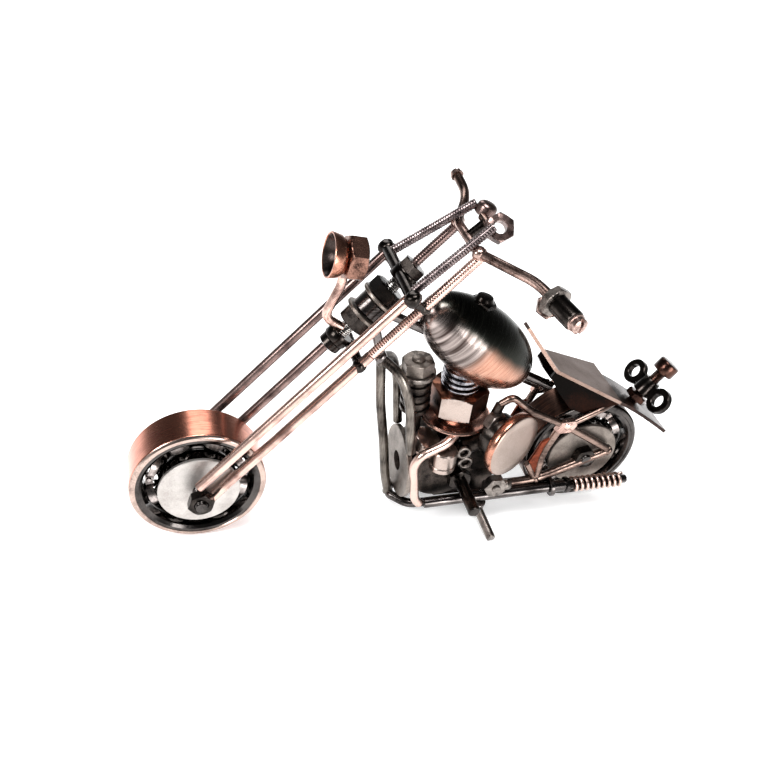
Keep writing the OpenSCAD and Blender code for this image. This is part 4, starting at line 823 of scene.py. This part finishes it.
collar = turned([(2, 0), (4, 0), (4, 0.58), (2, 0.58)], (51.71, 0, 14.1), (60, 0, 14.1), 48, True)
piece("front_washer_plate", "frame", ["front_plate_washer"], "bare_steel", (grey_brown_washer_and_shade, face),
      (case_iron, collar))

front_lean = np.radians(3.6)
front_foot = np.array([53.3, 0, 21.4])
front_up = np.array([-np.sin(front_lean), 0, np.cos(front_lean)])
stack = [(1.9, 0), (1.9, 9.6), (3.2, 9.62)]
for i in range(4):
    z = 10.0 + 2.4 * i
    stack += [(3.2, z - 0.02), (3.6, z), (3.7, z + 0.12), (3.7, z + 0.98), (3.6, z + 1.1), (3.2, z + 1.12)]
stack += [(3.2, 20.3)]
fins = turned(stack, front_foot, front_foot + front_up, 56)
big = turned([(4.3, 20.3), (4.5, 20.45), (4.5, 21.25), (4.3, 21.4)], front_foot, front_foot + front_up, 64)
piece("front_cylinder_stack", "frame", ["front_cylinder"], "black_nickel", (case_iron, fins),
      (grey_steel, big))
head_in = front_foot + 21.4 * front_up
dome = turned([(1.6, 0), (1.6, 0.45), (1.2, 0.7)], head_in + 3.19 * front_up, head_in + 9 * front_up, 32)
piece("front_cylinder_head", "frame", ["front_cylinder_nut"], "bare_steel",
      (grey_brown_washer_and_shade, hexagon(7, 3.2, 0, head_in, head_in + front_up, (0, 1, 0)), dome))

# Rear cylinder: a large nut stands on the hub of a copper plated dished washer and carries a pile of thin
# polished spacers that runs up into the tank.  The nut is zinc bright on one flat as a painted highlight and
# red-brown dark all round it as painted shade.
block_turn = np.radians(36)
cylinder_in = np.array([63.6, 0, 30.6])
up = np.array([0, 0, 1.0])
block = hexagon(13, 6.8, 0, cylinder_in, cylinder_in + up, (np.cos(block_turn), np.sin(block_turn), 0))


def nut_with_painted_lit_flat(lit_way):
    """Zinc-bright steel on the one flat that faces the light, a painted highlight; where the surface turns
    away from that direction by more than about 45 degrees, it is drawn red-brown and dark as painted shade."""
    mat = metal("nut_steel_painted_lit_flat_and_shade", "#aa9b93", "#7d7069", 0.3, patch=6, grain=0.25, cover=0.42,
                bump=0.008)
    tree = mat.node_tree
    skin = next(node for node in tree.nodes if node.type == "BSDF_PRINCIPLED")
    bright = skin.inputs["Base Color"].links[0].from_node
    where = add(tree, "ShaderNodeTexCoord")
    facing = add(tree, "ShaderNodeVectorMath", {"operation": "DOT_PRODUCT", 1: tuple(lit_way)},
                 {0: (where, "Normal")})
    painted_lit_share = add(tree, "ShaderNodeMapRange",
                {"interpolation_type": "SMOOTHSTEP", "From Min": 0.6, "From Max": 0.85},
                {"Value": (facing, "Value")})
    cloud = next(node for node in tree.nodes if node.type == "TEX_NOISE")
    patchy = add(tree, "ShaderNodeMapRange", {"From Min": 0.38, "From Max": 0.62}, {"Value": (cloud, "Fac")})
    painted_shade_tint = add(tree, "ShaderNodeMix", {"data_type": "RGBA", 6: linear("#6b4434"), 7: linear("#2f1e19")},
                {0: (patchy, "Result")})
    color = add(tree, "ShaderNodeMix", {"data_type": "RGBA"},
                {0: (painted_lit_share, "Result"), 6: (painted_shade_tint, 2), 7: (bright, 0)})
    tree.links.new(color.outputs[2], skin.inputs["Base Color"])
    return mat


# The flat that faces this way is painted lit; the others are painted shade.
lit_flat_angle = np.radians(246)
lit_flat_way = np.array([np.cos(lit_flat_angle), np.sin(lit_flat_angle), 0])
piece("rear_cylinder_big_nut", "frame", ["rear_cylinder_nut"], "bare_steel", (nut_with_painted_lit_flat(lit_flat_way), block))
# Polished spacer steel: a cool dark mirror with fine lines round its rim.
ring_metal = metal("dark_polished_spacer_steel", "#a5a3a8", "#3c3a3e", 0.16, patch=3, grain=0.3,
                   streak=(1, 1, 0.1), bump=0.004)
rings = [(3.3, -0.9)]
for i in range(5):
    z = 0.03 + 1.6 * i
    rings += [(3.3, z), (4.55, z), (4.9, z + 0.18), (5.0, z + 0.55), (4.9, z + 0.92), (4.55, z + 1.1),
              (3.3, z + 1.1)]
rings += [(3.3, 8.0)]
spacers = turned(rings, (63.6, 0, 37.4), (63.6, 0, 60), 96)
piece("rear_cylinder_spacers", "frame", ["rear_cylinder_rings"], "bare_steel", (ring_metal, spacers))
# Pale copper plate on a pressed washer: bright, with brown clouds in its hollow.
dish_metal = metal("pale_dished_copper", "#c7a294", "#5e3a2c", 0.24, patch=5, grain=0.25, bump=0.01)
dish = turned([(1.6, 0.1), (1.7, 0), (4.4, 0), (6.0, 0.45), (7.6, 1.1), (8.6, 2.0), (9.15, 2.6), (9.15, 2.75),
               (8.75, 3.15), (8.6, 3.1), (7.9, 2.5), (7.2, 2.0), (5.8, 1.5), (4.7, 1.22), (4.6, 1.3),
               (4.6, 4.5), (4.5, 4.6), (1.6, 4.6)], (63.6, 0, 26), (63.6, 0, 30), 96, True)
piece("dished_copper_washer", "frame", ["dished_washer"], "copper_plate", (dish_metal, dish))

# Side cover: a turned copper plated disc set out on the near side, dull on its face and bright on its rim.  It
# sits on a dark block with struts and a small nut.
cover_in = np.array([76.5, -11, 25.2])
cover_turn = np.radians(27)
cover_out = np.array([np.sin(cover_turn), -np.cos(cover_turn), 0])
cover_right = np.array([np.cos(cover_turn), np.sin(cover_turn), 0])
# Copper plate dulled on the turned face: greyish, nearly even and soft.
cover_metal = metal("turned_disc_dull_copper", "#a3938a", "#8b7d74", 0.36, patch=9, grain=0.3, cover=0.45,
                    bump=0.015)
disc = turned([(7.9, -2.8), (8.5, -2.5), (8.8, -1.9), (8.8, -0.8), (8.7, -0.5), (8.5, -0.2), (8.2, 0),
               (6, 0.02), (4, 0.02), (2, 0.02), (0.5, 0.02)], cover_in, cover_in + cover_out, 96)[0]
piece("side_cover_disc", "frame", ["side_cover"], "copper_plate", (lamp_copper, (disc[:7], False)),
      (cover_metal, (disc[6:], False)))
puck_in = cover_in - 1.5 * cover_right + up - 6.2 * cover_out
puck = turned([(5.7, 0), (6, 0.3), (6, 3.1), (5.9, 3.38)], puck_in, puck_in + cover_out, 64)
struts = [wire(np.linspace(first, last, 8), radius) for first, last, radius in (
    ((75.0, -5, 26.2), (66, -4, 20.6), 2.4), ((71, -6.4, 31), (72.4, -6.2, 35.4), 1.2),
    ((71, -6.6, 30.4), (73.5, -7.4, 24.7), 1.4))]
boss = np.array([71, -6.2, 30.6])
boss_turn = np.radians(20)
boss_nut = hexagon(5.5, 2.4, 0, boss, boss + [np.sin(boss_turn), -np.cos(boss_turn), 0],
                   (np.cos(boss_turn), np.sin(boss_turn), 0))
piece("side_cover_block", "frame", ["cover_block"], "black_nickel", (black_nickel, puck), (case_iron, *struts),
      (grey_steel, boss_nut))

# Exhaust: a bright copper wire bends down from the rear cylinder past the front washer to a black pipe along
# the bottom rail; a stub behind it carries one coil of spring wire as the silencer.
# New thin copper plate: the palest metal of the model, streaked along the wire.
pipe_copper = metal("pale_copper_header", "#cbb0a5", "#8f7468", 0.3, patch=5, grain=0.25, streak=(1, 1, 0.05),
                    cover=0.36, bump=0.01)
header = wire(bent([(62, -6.6, 27.2), (59, -8.4, 25.6), (53, -9, 23.4), (51.4, -9, 20.2), (53.2, -8.8, 8.6),
                    (54.8, -8.6, 6.4)], 2.6), 1.15, 24)
piece("header_wire", "frame", ["header_pipe"], "copper_plate", (pipe_copper, header))
pipe_in, pipe_end = np.array([56, -8.6, 6.4]), np.array([89.8, -10, 8.8])
pipe = wire(np.linspace(pipe_in, pipe_end, 20), 1.4, 24)
flange = turned([(2.3, 0), (2.5, 0.2), (2.5, 1.0), (2.3, 1.2)], pipe_end, 2 * pipe_end - pipe_in, 40)
piece("exhaust_wire", "frame", ["exhaust_pipe"], "black_nickel", (nickel_wire, pipe, flange))
stub_in = np.array([90.9, -10, 8.9])
stub = turned([(1.6, 0), (1.6, 3.4), (1.95, 3.42), (2.2, 3.6), (2.2, 4.25), (2.05, 4.4), (1.2, 4.42),
               (1.2, 21.3), (1.0, 21.6)], stub_in, stub_in + [1, 0, 0], 40)
piece("silencer_stub", "frame", ["exhaust_stub"], "black_nickel", (nickel_wire, stub))
coil_turns, coil_pitch, coil_r = 9, 1.6, 1.7
turn_by = np.linspace(0, coil_turns * 2 * np.pi, coil_turns * 36)
along = 5.72 + coil_pitch * turn_by / (2 * np.pi)
curls = np.stack([stub_in[0] + along, stub_in[1] + coil_r * np.cos(turn_by),
                  stub_in[2] + coil_r * np.sin(turn_by)], 1)
coil_in = curls[0] + [[-1.3, 0, -0.5], [-0.6, 0, -0.45]]
coil_out = curls[-1] + [[0.6, 0, 0.45], [1.3, 0, 0.5]]
piece("silencer_coil", "frame", ["exhaust_coil"], "bare_steel",
      (pipe_copper, wire(np.concatenate([coil_in, curls, coil_out]), 0.4, 14)))

# Foot pegs, brake pedal, drive link and side stand: nuts, short rods, two open links and a swinging wire leg
# that turns on a pin between two cheeks under the near rail.
peg = wire(np.linspace([64.6, -6.3, 13.6], [65.2, -19.4, 12.4], 12), 1.6, 28)
peg_nut = hexagon(5.5, 2, 0, (64.6, -7.2, 13.4), (64.6, -9.2, 13.4), (0, 0, 1))
piece("foot_peg_pair", "frame", ["foot_pegs"], "black_nickel", (black_nickel, *both_sides([peg, peg_nut])))
pedal = hexagon(5.5, 2.4, 1.0, (74, -9, 11.6), (74, -12, 11.6), (1, 0, 0))
stub_end = turned([(1.1, 0), (1.1, 0.8), (0.9, 1.0)], (74, -11.0, 11.6), (74, -13, 11.6), 28)
knob = bead((77.2, -10, 11.4), 1.6, 0.4)
piece("pedal_nut_piece", "frame", ["pedal_nut"], "bare_steel", (grey_steel, pedal, stub_end, knob))
link_r, link_wire = 1.5, 0.53
round_link = np.linspace(0, 2 * np.pi, 40, endpoint=False)
round_wire = np.linspace(0, 2 * np.pi, 16, endpoint=False)[:, None]
reach = link_r + link_wire * np.cos(round_wire)
links = [(np.stack([x + reach * np.cos(round_link), -7.1 + link_wire * np.sin(round_wire) + 0 * round_link,
                    z + reach * np.sin(round_link)], -1), True) for x, z in ((65, 21.2), (65.9, 17.8))]
piece("drive_links", "frame", ["drive_link"], "bare_steel", (grey_steel, *links))
pivot, foot = np.array([71, -8.7, 3.4]), np.array([72.2, -18.4, 0.85])
leg_dir = unit(foot - pivot)
pin = np.array([0, leg_dir[2], np.sqrt(1 - leg_dir[2] ** 2)])
cheek_y = np.array([0, pin[2], -pin[1]])
around = np.linspace(np.pi, 2 * np.pi, 24)
eye = np.concatenate([np.stack([1.9 * np.cos(around), 1.9 * np.sin(around)], 1),
                      [(1.4, 1.3), (1.2, 3.66), (-1.2, 3.66), (-1.4, 1.3)]])
cheeks = [plank(eye, pivot + level * pin, (1, 0, 0), cheek_y, 1.0, 0.12) for level in (1.5, -2.5)]
bridge = plank([(-1.2, 2.32), (1.2, 2.32), (1.2, 3.68), (-1.2, 3.68)], pivot - 2.4 * pin, (1, 0, 0), cheek_y,
               4.8, 0.05)
pin_end = turned([(0.75, -2.5), (0.8, -2.45), (0.8, 2.5), (0.6, 2.56)], pivot, pivot + pin, 24)
piece("stand_cheeks", "frame", ["stand_lug"], "black_nickel", (nickel_wire, *cheeks, bridge, pin_end))
leg = wire(np.linspace(pivot + 1.4 * leg_dir, foot, 16), wire_r, 24)
leg[0][:, :, 2] = np.maximum(leg[0][:, :, 2], 0.0)
eye_ring = turned([(0.85, -1.1), (0.95, -1.2), (1.7, -1.2), (1.9, -1.0), (1.9, 1.0), (1.7, 1.2), (0.95, 1.2),
                   (0.85, 1.1)], pivot, pivot + pin, 44, True)
piece("side_stand_leg", "stand", ["side_stand"], "bare_steel", (grey_steel, leg, eye_ring))

# View: the eye stands 0.217 m off, above the near side and to the front, turned a little so that the bike
# climbs to the left.
azimuth, elevation, roll = np.radians([19.87, 37.19, 8.2])
away = np.array([-np.sin(azimuth) * np.cos(elevation), -np.cos(azimuth) * np.cos(elevation),
                 np.sin(elevation)])
level = unit(np.cross(-away, [0, 0, 1]))
upright = np.cross(level, -away)
across = np.cos(roll) * level + np.sin(roll) * upright
upward = -np.sin(roll) * level + np.cos(roll) * upright
place = bike([45.74, 0, 37.25]) + 0.21654 * away
camera = bpy.data.objects.new("camera", bpy.data.cameras.new("camera"))
camera.data.lens, camera.data.sensor_width = 41.752, 36
camera.data.clip_start, camera.data.clip_end = 0.01, 20
turn = Matrix((across, upward, away)).transposed().to_4x4()
camera.matrix_world = Matrix.Translation(Vector(place)) @ turn
bpy.context.scene.collection.objects.link(camera)
bpy.context.scene.camera = camera

# Light: a bright table all round below the eye and a dark ceiling above it, as the metal mirrors them.  Three
# soft lamps stand over the bike for the long highlights, and one is a low window on the near side.
world = bpy.data.worlds.new("room")
bpy.context.scene.world = world
tree = cleared(world)
where = add(tree, "ShaderNodeTexCoord")
axes = add(tree, "ShaderNodeSeparateXYZ", links={"Vector": (where, "Generated")})
high = add(tree, "ShaderNodeValToRGB", links={"Fac": (axes, "Z")})
for at, shade in ((0.0, 0.9), (0.06, 0.35), (0.3, 0.1), (0.7, 0.03)):
    stop = high.color_ramp.elements[0] if at == 0 else high.color_ramp.elements.new(at)
    stop.position, stop.color = at, (shade, shade, shade, 1)
high.color_ramp.elements[-1].position, high.color_ramp.elements[-1].color = 1.0, (0.02, 0.02, 0.02, 1)
paths = add(tree, "ShaderNodeLightPath")
even = add(tree, "ShaderNodeMix", {"data_type": "RGBA", 6: (0.75, 0.75, 0.75, 1)},
           {0: (paths, "Is Glossy Ray"), 7: (high, "Color")})
seen = add(tree, "ShaderNodeMix", {"data_type": "RGBA", 7: (1, 1, 1, 1)},
           {0: (paths, "Is Camera Ray"), 6: (even, 2)})
sky = add(tree, "ShaderNodeBackground", links={"Color": (seen, 2)})
add(tree, "ShaderNodeOutputWorld", links={"Surface": (sky, "Background")})


def lamp_at(name, spot, aim, size, power):
    """A square soft lamp at a spot, aimed at another, both in bike millimetres."""
    made = bpy.data.objects.new(name, bpy.data.lights.new(name, "AREA"))
    made.data.size, made.data.energy = size, power
    made.location = bike(spot)
    made.rotation_euler = Vector(bike(aim) - bike(spot)).to_track_quat("-Z", "Y").to_euler()
    bpy.context.scene.collection.objects.link(made)


lamp_at("lamp_over", (30, -60, 420), (50, 0, 20), 0.16, 1.6)
lamp_at("lamp_front", (-300, -120, 260), (20, 0, 30), 0.14, 1.1)
lamp_at("lamp_tread", (60, 380, 330), (0, 0, 30), 0.2, 0.5)
lamp_at("window", (150, -340, 85), (61, -8, 56), 0.16, 0.9)

# Table: a white board that runs out to the edge of sight and keeps a faint shadow.
board = bpy.data.meshes.new("board")
board.from_pydata([(-3, -3, -0.0002), (3, -3, -0.0002), (3, 3, -0.0002), (-3, 3, -0.0002)], [], [(0, 1, 2, 3)])
floor = bpy.data.objects.new("board", board)
bpy.context.scene.collection.objects.link(floor)
# Matt white card with a slight glow, so that its edge is lost in the white of the room.
mat = bpy.data.materials.new("white_board")
tree = cleared(mat)
matt = add(tree, "ShaderNodeBsdfDiffuse", {"Color": (0.9, 0.9, 0.9, 1)})
glow = add(tree, "ShaderNodeEmission", {"Color": (1, 1, 1, 1), "Strength": 0.35})
both = add(tree, "ShaderNodeAddShader", links={0: (matt, "BSDF"), 1: (glow, "Emission")})
add(tree, "ShaderNodeOutputMaterial", links={"Surface": (both, "Shader")})
board.materials.append(mat)
bpy.context.scene.view_settings.view_transform = "Standard"
